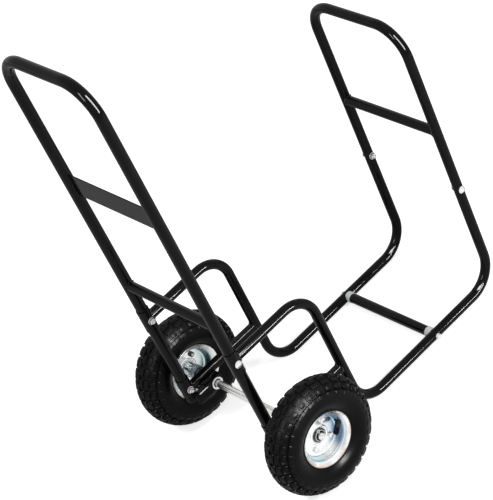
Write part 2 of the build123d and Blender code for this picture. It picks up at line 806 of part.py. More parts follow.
for side_name, side in sides:
    # Rim halves: dished pressings back to back, bored for the hub and drilled for the rim bolts
    for half_name, facing in (("outer", 1), ("inner", -1)):
        with BuildPart() as rim_half:
            with BuildSketch(wheel_section(side)):
                trace(rim_line.line, rim_sheet)
                if facing < 0:
                    mirror(about=Plane.YZ, mode=Mode.REPLACE)
            revolve(axis=wheel_axis(side))
            with BuildSketch(wheel_face(side, 0)):
                Circle(hub_od / 2 + weld_gap)
                with PolarLocations(rim_bolt_radius, rim_bolt_count, start_angle=180 / rim_bolt_count):
                    Circle(bolt_hole / 2)
            extrude(amount=2 * rim_sheet, both=True, mode=Mode.SUBTRACT)
            if facing > 0:
                with BuildSketch(Plane(valve_line(side).origin, z_dir=valve_line(side).x_dir)):
                    Circle(valve_diameter / 2 + valve_hole_clearance)
                extrude(amount=valve_diameter, both=True, mode=Mode.SUBTRACT)
        save(rim_half.part, f"{side_name}_rim_{half_name}_half")

    # Hub: barrel welded through the rim discs, longer on the cart's side
    with BuildPart() as hub:
        with BuildSketch(wheel_face(side, -hub_inboard)):
            Circle(hub_od / 2)
            Circle(hub_bore / 2, mode=Mode.SUBTRACT)
        extrude(amount=hub_inboard + hub_outboard)
    save(hub.part, f"{side_name}_hub")

    # Hub bushes: flanged nylon bushes that run on the axle
    with BuildPart() as hub_bushes:
        for reach, inward in ((-hub_inboard, 1), (hub_outboard, -1)):
            with BuildSketch(wheel_face(side, reach)):
                Circle(hub_bore / 2 - bush_fit)
                Circle(axle_diameter / 2 + bush_running_gap, mode=Mode.SUBTRACT)
            extrude(amount=inward * bush_depth)
            with BuildSketch(wheel_face(side, reach)):
                Circle(bush_flange_od / 2)
                Circle(axle_diameter / 2 + bush_running_gap, mode=Mode.SUBTRACT)
            extrude(amount=-inward * bush_flange)
    save(hub_bushes.part, f"{side_name}_hub_bushes")

    # Rim bolts and nuts: hexagon heads in the outer dish, nuts in the inner one
    with BuildPart() as rim_bolts:
        with BuildSketch(wheel_face(side, rim_sheet + 2 * rim_seam_gap)):
            with PolarLocations(rim_bolt_radius, rim_bolt_count, start_angle=180 / rim_bolt_count):
                RegularPolygon(rim_bolt_flats / 2, 6, major_radius=False)
        extrude(amount=rim_bolt_head)
        with BuildSketch(wheel_face(side, rim_sheet + 2 * rim_seam_gap)):
            with PolarLocations(rim_bolt_radius, rim_bolt_count, start_angle=180 / rim_bolt_count):
                Circle(bolt_diameter / 2)
        extrude(amount=-2 * rim_sheet - 4 * rim_seam_gap - nut_height - bolt_tail)
    save(rim_bolts.part, f"{side_name}_rim_bolts")

    with BuildPart() as rim_nuts:
        with BuildSketch(wheel_face(side, -rim_sheet - 2 * rim_seam_gap)):
            with PolarLocations(rim_bolt_radius, rim_bolt_count, start_angle=180 / rim_bolt_count):
                RegularPolygon(nut_flats / 2, 6, major_radius=False)
                Circle(bolt_diameter / 2 + nut_clearance, mode=Mode.SUBTRACT)
        extrude(amount=-nut_height)
    save(rim_nuts.part, f"{side_name}_rim_nuts")

    save(tyre.part if side == right else mirror(tyre.part, about=Plane.YZ), f"{side_name}_tyre")

    # Inner tube: a hollow ring under the crown, on which the valve stem stands
    tube_rise = (inner_tube_top - inner_tube_bottom) / 2
    tube_half_width = tyre_width / 2 - tyre_wall - inner_tube_side_gap
    with BuildPart() as inner_tube:
        with BuildSketch(wheel_section(side)):
            with Locations((0, (inner_tube_top + inner_tube_bottom) / 2)):
                Ellipse(tube_half_width, tube_rise)
                Ellipse(tube_half_width - inner_tube_wall, tube_rise - inner_tube_wall, mode=Mode.SUBTRACT)
        revolve(axis=wheel_axis(side))
    save(inner_tube.part, f"{side_name}_inner_tube")

    # Valve stem: from the inner tube through the outer rim half, slanting out of the dish
    stem_plane = valve_line(side)
    stem_axis = Axis(stem_plane.origin, stem_plane.x_dir)
    stem_foot = (inner_tube_bottom - inner_tube_gap - seat_radius_at(valve_reach)) / cos(radians(valve_tilt))
    stem_foot -= valve_diameter / 2 * tan(radians(valve_tilt))
    with BuildPart() as valve_stem:
        with BuildSketch(stem_plane):
            with BuildLine():
                Polyline(
                    (-stem_foot, 0),
                    (-stem_foot, valve_diameter / 2),
                    (valve_length - valve_cap_length, valve_diameter / 2),
                    (valve_length - valve_cap_length, valve_thread / 2),
                    (valve_length, valve_thread / 2),
                    (valve_length, 0),
                    close=True,
                )
            make_face()
        revolve(axis=stem_axis)
    save(valve_stem.part, f"{side_name}_valve_stem")

    # Valve cap: a closed thimble over the stem's thread
    with BuildPart() as valve_cap:
        cap_mouth = valve_length - valve_cap_length + valve_cap_clearance
        cap_floor = valve_length + valve_cap_clearance
        with BuildSketch(stem_plane):
            with BuildLine():
                Polyline(
                    (cap_mouth, valve_thread / 2 + valve_cap_clearance),
                    (cap_mouth, valve_cap_diameter / 2),
                    (cap_floor + valve_cap_top, valve_cap_diameter / 2),
                    (cap_floor + valve_cap_top, 0),
                    (cap_floor, 0),
                    (cap_floor, valve_thread / 2 + valve_cap_clearance),
                    close=True,
                )
            make_face()
        revolve(axis=stem_axis)
    save(valve_cap.part, f"{side_name}_valve_cap")
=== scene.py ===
import json
from math import asin, atan2, cos, hypot, pi, radians, sin, sqrt, tan

import bmesh
import bpy
import numpy as np
from mathutils import Matrix, Vector

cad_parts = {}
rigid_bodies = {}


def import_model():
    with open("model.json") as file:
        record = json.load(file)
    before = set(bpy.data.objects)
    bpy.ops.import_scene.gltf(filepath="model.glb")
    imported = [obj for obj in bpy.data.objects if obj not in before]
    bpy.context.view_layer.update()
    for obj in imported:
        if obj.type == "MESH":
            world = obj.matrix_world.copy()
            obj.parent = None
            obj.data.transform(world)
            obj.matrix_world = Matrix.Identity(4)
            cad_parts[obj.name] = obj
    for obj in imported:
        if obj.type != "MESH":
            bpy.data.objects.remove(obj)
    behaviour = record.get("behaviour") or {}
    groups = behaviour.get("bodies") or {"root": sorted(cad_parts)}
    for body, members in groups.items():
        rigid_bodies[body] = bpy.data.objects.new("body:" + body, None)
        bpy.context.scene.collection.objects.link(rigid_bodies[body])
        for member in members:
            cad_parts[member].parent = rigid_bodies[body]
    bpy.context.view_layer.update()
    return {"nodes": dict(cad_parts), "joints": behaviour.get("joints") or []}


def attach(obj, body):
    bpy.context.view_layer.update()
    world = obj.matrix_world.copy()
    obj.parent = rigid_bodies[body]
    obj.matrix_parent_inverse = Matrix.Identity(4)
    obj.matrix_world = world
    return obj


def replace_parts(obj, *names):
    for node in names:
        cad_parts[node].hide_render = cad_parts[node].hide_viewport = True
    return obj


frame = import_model()
nodes = frame["nodes"]


# Frame: round steel tube, bent cold and welded, with sleeves on the legs of the handle.
# The whole frame is sprayed with black powder and baked, which leaves a smooth gloss
# with a faint orange peel and slightly uneven shine.
class Reading:
    """A socket of a node tree. Arithmetic on it adds Math nodes."""

    def __init__(self, graph, socket):
        self.graph = graph
        self.socket = socket

    def math(self, operation, first, second):
        return self.graph.node("ShaderNodeMath", {0: first, 1: second}, operation=operation)

    def __add__(self, other):
        return self.math("ADD", self, other)

    __radd__ = __add__

    def __sub__(self, other):
        return self.math("SUBTRACT", self, other)

    def __rsub__(self, other):
        return self.math("SUBTRACT", other, self)

    def __mul__(self, other):
        return self.math("MULTIPLY", self, other)

    __rmul__ = __mul__


class Graph:
    """A node tree that is being filled."""

    def __init__(self, tree):
        self.tree = tree

    def node(self, kind, sockets=None, out=0, **settings):
        """Adds a node, fills it in and returns one of its outputs."""
        made = self.tree.nodes.new(kind)
        for name, value in settings.items():
            if name == "stops":
                ramp = made.color_ramp
                while len(ramp.elements) < len(value):
                    ramp.elements.new(1)
                for stop, (place, colour) in zip(ramp.elements, value):
                    stop.position = place
                    stop.color = (*colour, 1)
            else:
                setattr(made, name, value)
        for key, value in (sockets or {}).items():
            for part in value if isinstance(value, list) else [value]:
                if isinstance(part, Reading):
                    self.tree.links.new(part.socket, made.inputs[key])
                else:
                    socket = made.inputs[key]
                    socket.default_value = (*part, 1) if socket.type == "RGBA" else part
        return Reading(self, made.outputs[out]) if made.outputs else None


class Finish(Graph):
    """A surface material that is being mixed."""

    def __init__(self, name):
        self.material = bpy.data.materials.new(name)
        self.material.use_nodes = True
        super().__init__(self.material.node_tree)
        self.tree.nodes.clear()
        self.place = self.node("ShaderNodeTexCoord", out="Object")

    def noise(self, scale, detail=2.0, rough=0.5, place=None):
        """Noise of about the given number of grains to the metre."""
        sockets = {"Vector": place or self.place, "Scale": scale, "Detail": detail, "Roughness": rough}
        return self.node("ShaderNodeTexNoise", sockets)

    def blend(self, factor, first, second):
        """A colour between two others."""
        return self.node("ShaderNodeMix", {0: factor, 6: first, 7: second}, out=2, data_type="RGBA")

    def ramp(self, factor, *stops):
        """A grey value that follows stops of place and level."""
        grey = [(place, (level, level, level)) for place, level in stops]
        return self.node("ShaderNodeValToRGB", {"Fac": factor}, stops=grey)

    def along(self, place, direction):
        """How far a place lies along a direction."""
        sockets = {0: place, 1: direction}
        return self.node("ShaderNodeVectorMath", sockets, out=1, operation="DOT_PRODUCT")

    def bump(self, height, strength, distance):
        sockets = {"Height": height, "Strength": strength, "Distance": distance}
        return self.node("ShaderNodeBump", sockets)

    def done(self, **sockets):
        """Ends the material in one surface shader and returns it."""
        filled = {name.replace("_", " "): value for name, value in sockets.items()}
        surface = self.node("ShaderNodeBsdfPrincipled", filled)
        self.node("ShaderNodeOutputMaterial", {"Surface": surface})
        return self.material


def dress(material, *names):
    """Gives CAD nodes a material."""
    for name in names:
        for holder in nodes[name].material_slots:
            holder.material = material


coat = Finish("black_powder_coat")
coat_cloud = coat.noise(9, 3)
coat_peel = coat.noise(620, 1, 0.4)
coat_specks = coat.ramp(coat.noise(240, 4, 0.7), (0.66, 0), (0.74, 1))
black_powder_coat = coat.done(
    Base_Color=coat.blend(coat_cloud, (0.0012, 0.0013, 0.0012), (0.0026, 0.0027, 0.0026)),
    Roughness=0.06 + coat_cloud * 0.03 + coat_specks * 0.04,
    Specular_IOR_Level=0.1,
    Normal=coat.bump(coat_peel, 0.008, 0.0003),
)
sides = (("left", -1), ("right", 1))
dress(black_powder_coat, "handle_frame", "handle_slat", "handle_crossbar", "front_hoop", "hoop_connectors")
dress(black_powder_coat, "front_crossbar", "base_crossbar", "base_crossbar_plugs")
for side_name, side in sides:
    for tube_name in ("upper_sleeve", "lower_sleeve", "side_rail"):
        dress(black_powder_coat, f"{side_name}_{tube_name}")

# Weld seams: steel beads run round each joint of the frame before it was coated, so they
# carry the same black. Each bead is a row of overlapping ripples, about 4 mm wide.
MM = 0.001
wheel_centres = {joint["child"]: Vector(joint["pos_m"]) for joint in frame["joints"]}
axle_y, axle_z, cart_tilt = 55.0, 103.0, radians(-1.80595)
axle_line = wheel_centres["left_wheel"] * Vector((0, 1, 1))
cart_turn = Matrix.Rotation(cart_tilt, 4, "X")
cart = Matrix.Translation(axle_line - cart_turn @ (Vector((0, axle_y, axle_z)) * MM)) @ cart_turn


def on_cart(x, y, z):
    """World place of a point of the level cart, in millimetres from between its rear legs."""
    return cart @ (Vector((x, y, z)) * MM)


def new_tree(name, **inputs):
    """A Geometry Nodes tree and the readings of its named inputs."""
    tree = bpy.data.node_groups.new(name, "GeometryNodeTree")
    for label, kind in {"Geometry": "Geometry", **inputs}.items():
        tree.interface.new_socket(label, in_out="INPUT", socket_type="NodeSocket" + kind)
    tree.interface.new_socket("Geometry", in_out="OUTPUT", socket_type="NodeSocketGeometry")
    graph = Graph(tree)
    entry = tree.nodes.new("NodeGroupInput")
    return graph, {socket.name: Reading(graph, socket) for socket in entry.outputs if socket.name}


def end_tree(graph, geometry, finish):
    """Closes a tree with real geometry in one material."""
    real = graph.node("GeometryNodeRealizeInstances", {"Geometry": geometry})
    painted = graph.node("GeometryNodeSetMaterial", {"Geometry": real, "Material": finish})
    graph.node("NodeGroupOutput", {"Geometry": painted})
    return graph.tree


def in_scene(name, mesh):
    """An object at the origin, linked to the scene."""
    made = bpy.data.objects.new(name, mesh)
    bpy.context.scene.collection.objects.link(made)
    return made


def kept(host, crease):
    """Keeps what the modifiers make as a plain mesh, smooth up to an angle in degrees."""
    made = bpy.data.meshes.new_from_object(host.evaluated_get(bpy.context.evaluated_depsgraph_get()))
    host.modifiers.clear()
    host.data = made
    made.name = host.name
    made.shade_smooth()
    made.set_sharp_from_angle(angle=radians(crease))
    return host


def grow(host, tree, crease, **values):
    """Runs a tree on an object and keeps the result."""
    modifier = host.modifiers.new(tree.name, "NODES")
    modifier.node_group = tree
    for socket in tree.interface.items_tree:
        if socket.name in values:
            modifier[socket.identifier] = values[socket.name]
    return kept(host, crease)


ripple_length, ripple_least, ripple_most = 0.7, 0.86, 1.1
bead_graph, bead = new_tree("weld_bead", Width="Float", Step="Float", Seed="Int", Finish="Material")
bead_line = bead_graph.node("GeometryNodeMeshToCurve", {"Mesh": bead["Geometry"]})
step_sockets = {"Curve": bead_line, "Length": bead["Step"]}
bead_line = bead_graph.node("GeometryNodeResampleCurve", step_sockets, mode="LENGTH")
ripple = bead_graph.node("GeometryNodeMeshUVSphere", {"Segments": 10, "Rings": 6, "Radius": 0.5})
seam_run = bead_graph.node("GeometryNodeInputTangent")
ripple_aim = bead_graph.node("FunctionNodeAlignRotationToVector", {"Vector": seam_run}, axis="Z")
ripple_range = {2: ripple_least, 3: ripple_most, "Seed": bead["Seed"]}
ripple_size = bead_graph.node("FunctionNodeRandomValue", ripple_range, out=1, data_type="FLOAT")
ripple_shape = bead_graph.node("ShaderNodeCombineXYZ", {"X": 1, "Y": 1, "Z": ripple_length})
ripple_sockets = {0: ripple_shape, "Scale": ripple_size * bead["Width"]}
ripple_scale = bead_graph.node("ShaderNodeVectorMath", ripple_sockets, operation="SCALE")
bead_sockets = {"Points": bead_line, "Instance": ripple, "Rotation": ripple_aim, "Scale": ripple_scale}
beads = bead_graph.node("GeometryNodeInstanceOnPoints", bead_sockets)
weld_tree = end_tree(bead_graph, beads, bead["Finish"])


def seam_mesh(name, seams):
    """Edges along each seam, from lists of places."""
    places, edges = [], []
    for seam in seams:
        first = len(places)
        places += seam
        edges += [(first + k, first + k + 1) for k in range(len(seam) - 1)]
    mesh = bpy.data.meshes.new(name)
    mesh.from_pydata(places, edges, [])
    return in_scene(name, mesh)


def round_outline(radius, steps=40):
    return [(radius * cos(2 * pi * k / steps), radius * sin(2 * pi * k / steps)) for k in range(steps + 1)]


def four_times(quarter):
    """An outline from one quarter of it."""
    points = list(quarter)
    for turn in range(3):
        points += [(-y, x) for x, y in points[-len(quarter):]]
    return points


def square_outline(half, steps=8, corner_ease=0.93):
    """Points round a square, with its corners eased."""
    quarter = [(corner_ease, -corner_ease)] + [(1, 2 * k / steps - 1) for k in range(1, steps)]
    points = four_times(quarter)
    return [(half * x, half * y) for x, y in points + points[:1]]


def tube_reach(radius, offset):
    """How far a round tube stands out beside its middle line."""
    return sqrt(max(radius**2 - offset**2, 0))


handle_x, rail_x, crossbar_level = 144.5, 142.0, 437.0
leg_radius, tube_radius, sleeve_radius = 12.5, 11.0, 14.2
slat_level, slat_half, slat_face = 723.0, 28.5, 1.25
loop_level, loop_reach = 340.0, 211.5
bearer_level, bearer_half = 123.4, 9.0
hanger_top, hanger_rear, hanger_front = 114.4, -3.0, 73.0
hoop_foot_y, hoop_lean, hoop_bar = 630.0, radians(2.7), 407.0
bead_lift, bead_width, bead_step, bead_crease, frame_seed = 0.5, 3.6, 1.7, 60, 4
slat_share, hanger_seam_start, hanger_seam_end = 0.98, 6.0, 3.0
both_sides = (-1, 1)


def weld(name, seams, width, step, seed, finish):
    """Lays a bead along each seam."""
    sizes = {"Width": width * MM, "Step": step * MM, "Seed": seed, "Finish": finish}
    return grow(seam_mesh(name, seams), weld_tree, bead_crease, **sizes)


def on_hoop(level, ahead=0.0):
    """Depth and height of a point of the leaning hoop."""
    lean_y, lean_z = sin(hoop_lean), cos(hoop_lean)
    return hoop_foot_y + level * lean_y + ahead * lean_z, level * lean_z - ahead * lean_y


def on_sleeve(a, level):
    """Place beside the middle of a rail where it meets the front of a sleeve."""
    return rail_x + a, tube_reach(sleeve_radius, rail_x + a - handle_x) + bead_lift, level


bead_reach = tube_radius + bead_lift
tube_seam, square_seam = round_outline(bead_reach), square_outline(bearer_half + bead_lift)
side_seams = [
    [(handle_x - tube_reach(leg_radius, a) - bead_lift, a, crossbar_level + b) for a, b in tube_seam],
    [(rail_x - tube_reach(bead_reach, a), *on_hoop(hoop_bar + b, a)) for a, b in tube_seam],
    [on_sleeve(a, loop_level + b) for a, b in tube_seam],
    [on_sleeve(a, bearer_level + b) for a, b in square_seam],
    [(rail_x + a, loop_reach - tube_reach(bead_reach, a), bearer_level + b) for a, b in square_seam],
]
frame_seams = []
for side in both_sides:
    frame_seams += [[on_cart(side * x, y, z) for x, y, z in seam] for seam in side_seams]
    slat_x = side * (handle_x - tube_reach(leg_radius, slat_face) - bead_lift)
    slat_ends = (slat_level - slat_share * slat_half, slat_level + slat_share * slat_half)
    hanger_ends = (sleeve_radius + hanger_seam_start, hanger_front - hanger_seam_end)
    for face in both_sides:
        slat_y = face * (slat_face + bead_lift)
        frame_seams.append([on_cart(slat_x, slat_y, z) for z in slat_ends])
        hanger_x = side * rail_x + face * (bearer_half + bead_lift)
        frame_seams.append([on_cart(hanger_x, y, hanger_top + bead_lift) for y in hanger_ends])

frame_welds = weld("frame_welds", frame_seams, bead_width, bead_step, frame_seed, black_powder_coat)
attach(frame_welds, "frame")

# Axle bearers: square steel tube with rounded corners, welded between the lower sleeve and the
# down-leg of the loop on each side. They carry the frame's black coat.
bearer_corner, corner_steps, bearer_lap, bearer_crease = 3.5, 6, 4.0, 50
bearer_ends = (sleeve_radius - bearer_lap, loop_reach - tube_radius + bearer_lap)


def bearer_outline():
    """Points round the section of the tube, with an arc at each corner."""
    reach = bearer_half - bearer_corner
    turns = [pi / 2 * k / corner_steps for k in range(corner_steps + 1)]
    return four_times([(reach + bearer_corner * cos(a), reach + bearer_corner * sin(a)) for a in turns])


def bridged(shape, rings):
    """Adds faces between closed rings of corners, or between a ring and a tip."""
    for first, second in zip(rings, rings[1:]):
        for k in range(len(first)):
            corners = (first[k - 1], first[k], second[k], second[k - 1])
            shape.faces.new(list(dict.fromkeys(corners)))
    bmesh.ops.recalc_face_normals(shape, faces=shape.faces)
    return shape


def skinned(shape, rings):
    """Adds faces between closed rings of places, and one across each end."""
    rings = [[shape.verts.new(spot) for spot in ring] for ring in rings]
    shape.faces.new(rings[0][::-1])
    shape.faces.new(rings[-1])
    return bridged(shape, rings)


def from_shape(name, shape):
    """An object with a shape as its mesh."""
    mesh = bpy.data.meshes.new(name)
    shape.to_mesh(mesh)
    shape.free()
    return in_scene(name, mesh)


def coated(piece, crease, node):
    """Keeps a welded piece in the frame's coat, in place of a node."""
    kept(piece, crease).data.materials.append(black_powder_coat)
    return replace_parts(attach(piece, "frame"), node)


bearers = []
for side_name, side in sides:
    rings = [
        [on_cart(side * rail_x + x, y, bearer_level + z) for x, z in bearer_outline()] for y in bearer_ends
    ]
    tube = from_shape(f"{side_name}_square_bearer", skinned(bmesh.new(), rings))
    bearers.append(coated(tube, bearer_crease, f"{side_name}_axle_bearer"))

# Axle hangers: steel plate folded to an upside-down U, notched round the sleeve and welded
# under the bearer, with the axle through both cheeks. They carry the frame's black coat.
hanger_half, hanger_sheet, hanger_fold, hanger_foot = 28.0, 3.0, 6.0, 88.0
hanger_corner, hanger_edge, hanger_crease, edge_limit = 8.0, 0.5, 35, radians(50)
notch_inner, notch_outer, notch_front, notch_flare = -13.2, 18.2, 16.5, 1.5
cheek_steps, fold_steps = 8, 6
axle_radius, axle_play = 8.0, 0.1


def hanger_columns():
    """Stations across the folded plate, foot to foot: place, outward direction, rear and front edge."""
    fold_x, fold_z = hanger_half - hanger_fold, hanger_top - hanger_fold
    whole = (hanger_rear, hanger_front)
    cheek = []
    for k in range(cheek_steps + 1):
        rise = hanger_corner * k / cheek_steps
        cut = hanger_corner - tube_reach(hanger_corner, hanger_corner - rise)
        cheek.append((hanger_foot + rise, hanger_rear + cut, hanger_front - cut))
    half = [(-hanger_half, z, -1, 0, rear, front) for z, rear, front in cheek]
    for k in range(fold_steps + 1):
        turn = pi - pi / 2 * k / fold_steps
        x, z = cos(turn), sin(turn)
        half.append((hanger_fold * x - fold_x, fold_z + hanger_fold * z, x, z, *whole))
    top = [
        (notch_inner - notch_flare, hanger_top, 0, 1, *whole),
        (notch_inner, hanger_top, 0, 1, notch_front, hanger_front),
        (notch_outer, hanger_top, 0, 1, notch_front, hanger_front),
        (notch_outer + notch_flare, hanger_top, 0, 1, *whole),
    ]
    return half + top + [(-x, z, -out_x, *rest) for x, z, out_x, *rest in half[::-1]]


for side_name, side in sides:
    rows = []
    for x, z, out_x, out_z, rear, front in hanger_columns():
        edges = ((0, rear), (0, front), (hanger_sheet, front), (hanger_sheet, rear))
        rows.append(
            [on_cart(side * (rail_x + x - depth * out_x), y, z - depth * out_z) for depth, y in edges]
        )
    hanger = from_shape(f"{side_name}_folded_hanger", skinned(bmesh.new(), rows))
    axle_spot = on_cart(side * rail_x, axle_y, axle_z)
    bore = [
        [axle_spot + Vector((x, y, z)) * MM for y, z in round_outline(axle_radius + axle_play)[1:]]
        for x in (-2 * hanger_half, 2 * hanger_half)
    ]
    drill = from_shape("axle_drill", skinned(bmesh.new(), bore))
    cut = hanger.modifiers.new("drill", "BOOLEAN")
    cut.object = drill
    rounding = hanger.modifiers.new("edges", "BEVEL")
    rounding.width = hanger_edge * MM
    rounding.segments = 2
    rounding.angle_limit = edge_limit
    coated(hanger, hanger_crease, f"{side_name}_axle_hanger")
    bpy.data.objects.remove(drill)


# Leg end plugs: moulded polyethylene caps pushed into the cut ends of the handle legs.
# They are black all through, with a dull skin and a trace of mould texture.
def clouded(name, scale, dark, pale, rough, spread, detail=3, grain=None, **others):
    """A finish whose colour and roughness drift together, with a grain where one is given."""
    finish = Finish(name)
    cloud = finish.noise(scale, detail)
    if grain:
        grain_scale, strength, distance = grain
        others["Normal"] = finish.bump(finish.noise(grain_scale, 2), strength, distance)
    tint = finish.blend(cloud, dark, pale)
    return finish.done(Base_Color=tint, Roughness=rough + cloud * spread, **others)


moulded_black_plastic = clouded(
    "moulded_black_plastic", 60, (0.003, 0.003, 0.0032), (0.006, 0.006, 0.0062), 0.42, 0.16,
    detail=2, grain=(900, 0.2, 0.0003), Specular_IOR_Level=0.15,
)
dress(moulded_black_plastic, "leg_end_plugs")

# Saddles: pale grey moulded spacers between the base bar and the side rails.
# The rail presses each one against the bar's end, so nothing else holds it.
pale_saddle_plastic = clouded(
    "pale_saddle_plastic", 45, (0.47, 0.48, 0.5), (0.58, 0.59, 0.61), 0.38, 0.14,
    grain=(1100, 0.15, 0.0002),
)
dress(pale_saddle_plastic, "base_crossbar_saddles")


# Frame bolts: low dome heads outside, plain shanks, and a rolled thread on the tail that
# shows past the nut. They are steel with a bright zinc plating.
def turned(profile, steps, ring=False):
    """A shape turned about local X from places and radii, or from rules that give them."""
    made = bmesh.new()
    turns = [2 * pi * k / steps for k in range(steps)]
    rings = []
    for entry in profile:
        if not callable(entry) and entry[1] == 0:
            rings.append([made.verts.new((entry[0], 0, 0))] * steps)
            continue
        spots = [entry(turn) if callable(entry) else entry for turn in turns]
        rings.append(
            [made.verts.new((x, r * cos(turn), r * sin(turn))) for (x, r), turn in zip(spots, turns)]
        )
    return bridged(made, rings + rings[:1] if ring else rings)


set_graph, put = new_tree("set_out", Piece="Object", Base="Object", Finish="Material")
put_piece, put_base = [
    set_graph.node("GeometryNodeObjectInfo", {"Object": put[label]}, out="Geometry")
    for label in ("Piece", "Base")
]
put_turn = set_graph.node("GeometryNodeInputNamedAttribute", {"Name": "turn"}, data_type="FLOAT_VECTOR")
put_turn = set_graph.node("FunctionNodeEulerToRotation", {"Euler": put_turn})
put_sockets = {"Points": put["Geometry"], "Instance": put_piece, "Rotation": put_turn}
put_all = set_graph.node("GeometryNodeInstanceOnPoints", put_sockets)
put_all = set_graph.node("GeometryNodeJoinGeometry", {"Geometry": [put_base, put_all]})
set_out_tree = end_tree(set_graph, put_all, put["Finish"])
piece_crease = 35


def set_out(name, shape, places, finish, body, slot, node=None, base=None):
    """Repeats a shape at places as one mesh, on a base at the first of them, in place of a node."""
    moulds = {}
    for label, block in (("Piece", shape), ("Base", base)):
        if block:
            bmesh.ops.scale(block, vec=(MM, MM, MM), verts=block.verts)
            moulds[label] = from_shape(f"{name}_{label}", block)
    if base:
        moulds["Base"].data.transform(places[0])
    spots = bpy.data.meshes.new(name)
    spots.from_pydata([place.to_translation() for place in places], [], [])
    turn = spots.attributes.new("turn", "FLOAT_VECTOR", "POINT")
    for item, place in zip(turn.data, places):
        item.vector = place.to_euler()
    piece = grow(in_scene(name, spots), set_out_tree, piece_crease, Finish=finish, **moulds)
    for mould in moulds.values():
        bpy.data.objects.remove(mould)
    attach(piece, body)
    if node:
        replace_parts(piece, node)


def cart_spots(x, y, *levels, facing=1):
    """Places on both sides of the cart, whose local X faces away from the middle, or to it."""
    spots = []
    for side in both_sides:
        turn = cart_turn @ Matrix.Rotation(0 if side * facing > 0 else pi, 4, "Z")
        spots += [Matrix.Translation(on_cart(side * x, y, z)) @ turn for z in levels]
    return spots


zinc_plated_fastener = clouded(
    "zinc_plated_fastener", 130, (0.76, 0.765, 0.77), (0.92, 0.915, 0.89), 0.24, 0.16,
    grain=(1500, 0.08, 0.0002), Metallic=1.0,
)
zinc_on_frame = (zinc_plated_fastener, "frame", "zinc_fastener")


def thread(start, end, radius, pitch=1.25, depth=0.45):
    """Ridges of a thread along local X, from start down to end."""
    ridges = []
    place = start
    while place - pitch > end:
        ridges += [(place, radius), (place - pitch / 2, radius - depth)]
        place -= pitch
    return ridges + [(end + depth, radius), (end, radius - 2 * depth)]


neck_radius, bolt_radius = 4.0, 3.0
dome_radius, dome_height, dome_edge, dome_ease = 8.5, 4.5, 0.5, 0.2
dome_steps, dome_share, dome_turns = 8, 0.985, 28
washer_radius, washer_thickness, bolt_tail = 8.0, 1.6, 1.6
nut_flat, nut_height, nut_collar = 5.3, 4.6, 1.8
leg_levels, front_bolt_level = (336.0, 127.0), 252.5
fastener_stack = washer_thickness + nut_height + nut_collar + bolt_tail


def dome_bolt(grip):
    """A dome head, a neck through the tubes and the washer, and a thread."""
    dome_arc = (dome_radius**2 + dome_height**2) / (2 * dome_height)
    dome = [(dome_height, 0)]
    for k in range(1, dome_steps + 1):
        radius = dome_radius * k / dome_steps * dome_share
        dome.append((dome_height - dome_arc + sqrt(dome_arc**2 - radius**2), radius))
    dome += [(dome_edge, dome_radius), (0, dome_radius - dome_ease)]
    neck_end, tail_end = -grip - washer_thickness, -grip - fastener_stack
    neck = [(0, neck_radius), (neck_end, neck_radius)]
    tail = thread(neck_end, tail_end, bolt_radius)
    return turned(dome + neck + tail + [(tail_end, 0)], dome_turns)


leg_out, rail_out = handle_x + sleeve_radius, rail_x + tube_radius
leg_places = cart_spots(leg_out, 0, *leg_levels)
front_places = cart_spots(rail_out, *on_hoop(front_bolt_level))
set_out("dome_leg_bolts", dome_bolt(2 * sleeve_radius), leg_places, *zinc_on_frame, "leg_bolts")
set_out("dome_front_bolts", dome_bolt(2 * tube_radius), front_places, *zinc_on_frame, "front_bolts")


# Washers and lock nuts: stamped zinc washers with rounded edges, thin dark nylon rings on them that are
# painted shade round each nut, and hexagon nuts with chamfered corners and a rolled collar that holds a
# nylon ring on the thread.
def hexagon(flat, round_radius, top, foot, foot_fall=0):
    """Section of a hexagon with chamfered corners at its top and, where asked, at its foot."""

    def edge(level, fall):
        def rule(turn):
            reach = flat / cos((turn + pi / 6) % (pi / 3) - pi / 6)
            return level - fall * tan(radians(30)) * max(reach - round_radius, 0), reach

        return rule

    return [(top, round_radius), edge(top, 1), edge(foot, foot_fall)]


hexagon_steps, nut_turn, round_share = 36, radians(17), 0.97
washer_ease, washer_play, nut_play = 0.3, 0.2, 0.1


def washer(bore, radius, thickness):
    edge = [(0, radius - washer_ease), (-washer_ease, radius)]
    edge += [(-thickness - x, r) for x, r in edge[::-1]]
    return turned([(0, bore), *edge, (-thickness, bore)], hexagon_steps, ring=True)


nut_round = nut_flat * round_share
nut_bore, nut_wall, nut_end = bolt_radius + nut_play, nut_round - 1.0, -nut_height - nut_collar
collar_curl = ((0, 0.2), (0.6, 0.2), (0.9, 0.45), (1.0, 0.8))
collar_lip, collar_floor = nut_end + 0.3, 0.2 - nut_height
lock_nut = [
    (0, nut_bore),
    *hexagon(nut_flat, nut_round, 0, -nut_height, -1),
    *[(-nut_height - nut_collar * share, nut_round - inset) for share, inset in collar_curl],
    (collar_lip, nut_wall), (collar_floor, nut_wall), (collar_floor, nut_bore),
]
insert_top, insert_end, insert_dish = 0.3 - nut_height, nut_end + 0.7, 0.2
insert_radius, insert_mouth, insert_bore = nut_wall - 0.05, nut_wall - 0.4, bolt_radius - 0.3
nut_insert = [(insert_top, insert_bore), (insert_top, insert_radius), (insert_end, insert_radius)]
nut_insert += [(insert_end - insert_dish, insert_mouth), (insert_end + insert_dish, insert_bore)]
# Painted shade: a thin dark nylon ring under each nut, standing for the shade round it.
shade_ring_radius, shade_ring_ease, shade_ring_bore, shade_ring_top, shade_ring_end = 7.0, 0.2, bolt_radius + 0.2, 0.1, -0.4
nut_shade_ring = [(shade_ring_top, shade_ring_bore), (shade_ring_top, shade_ring_radius)]
nut_shade_ring += [(shade_ring_end, shade_ring_radius - shade_ring_ease), (shade_ring_end, shade_ring_bore)]
leg_in, rail_in = handle_x - sleeve_radius, rail_x - tube_radius
washer_places = cart_spots(leg_in, 0, *leg_levels) + cart_spots(rail_in, *on_hoop(front_bolt_level))
on_washer = Matrix.Translation((-washer_thickness * MM, 0, 0))
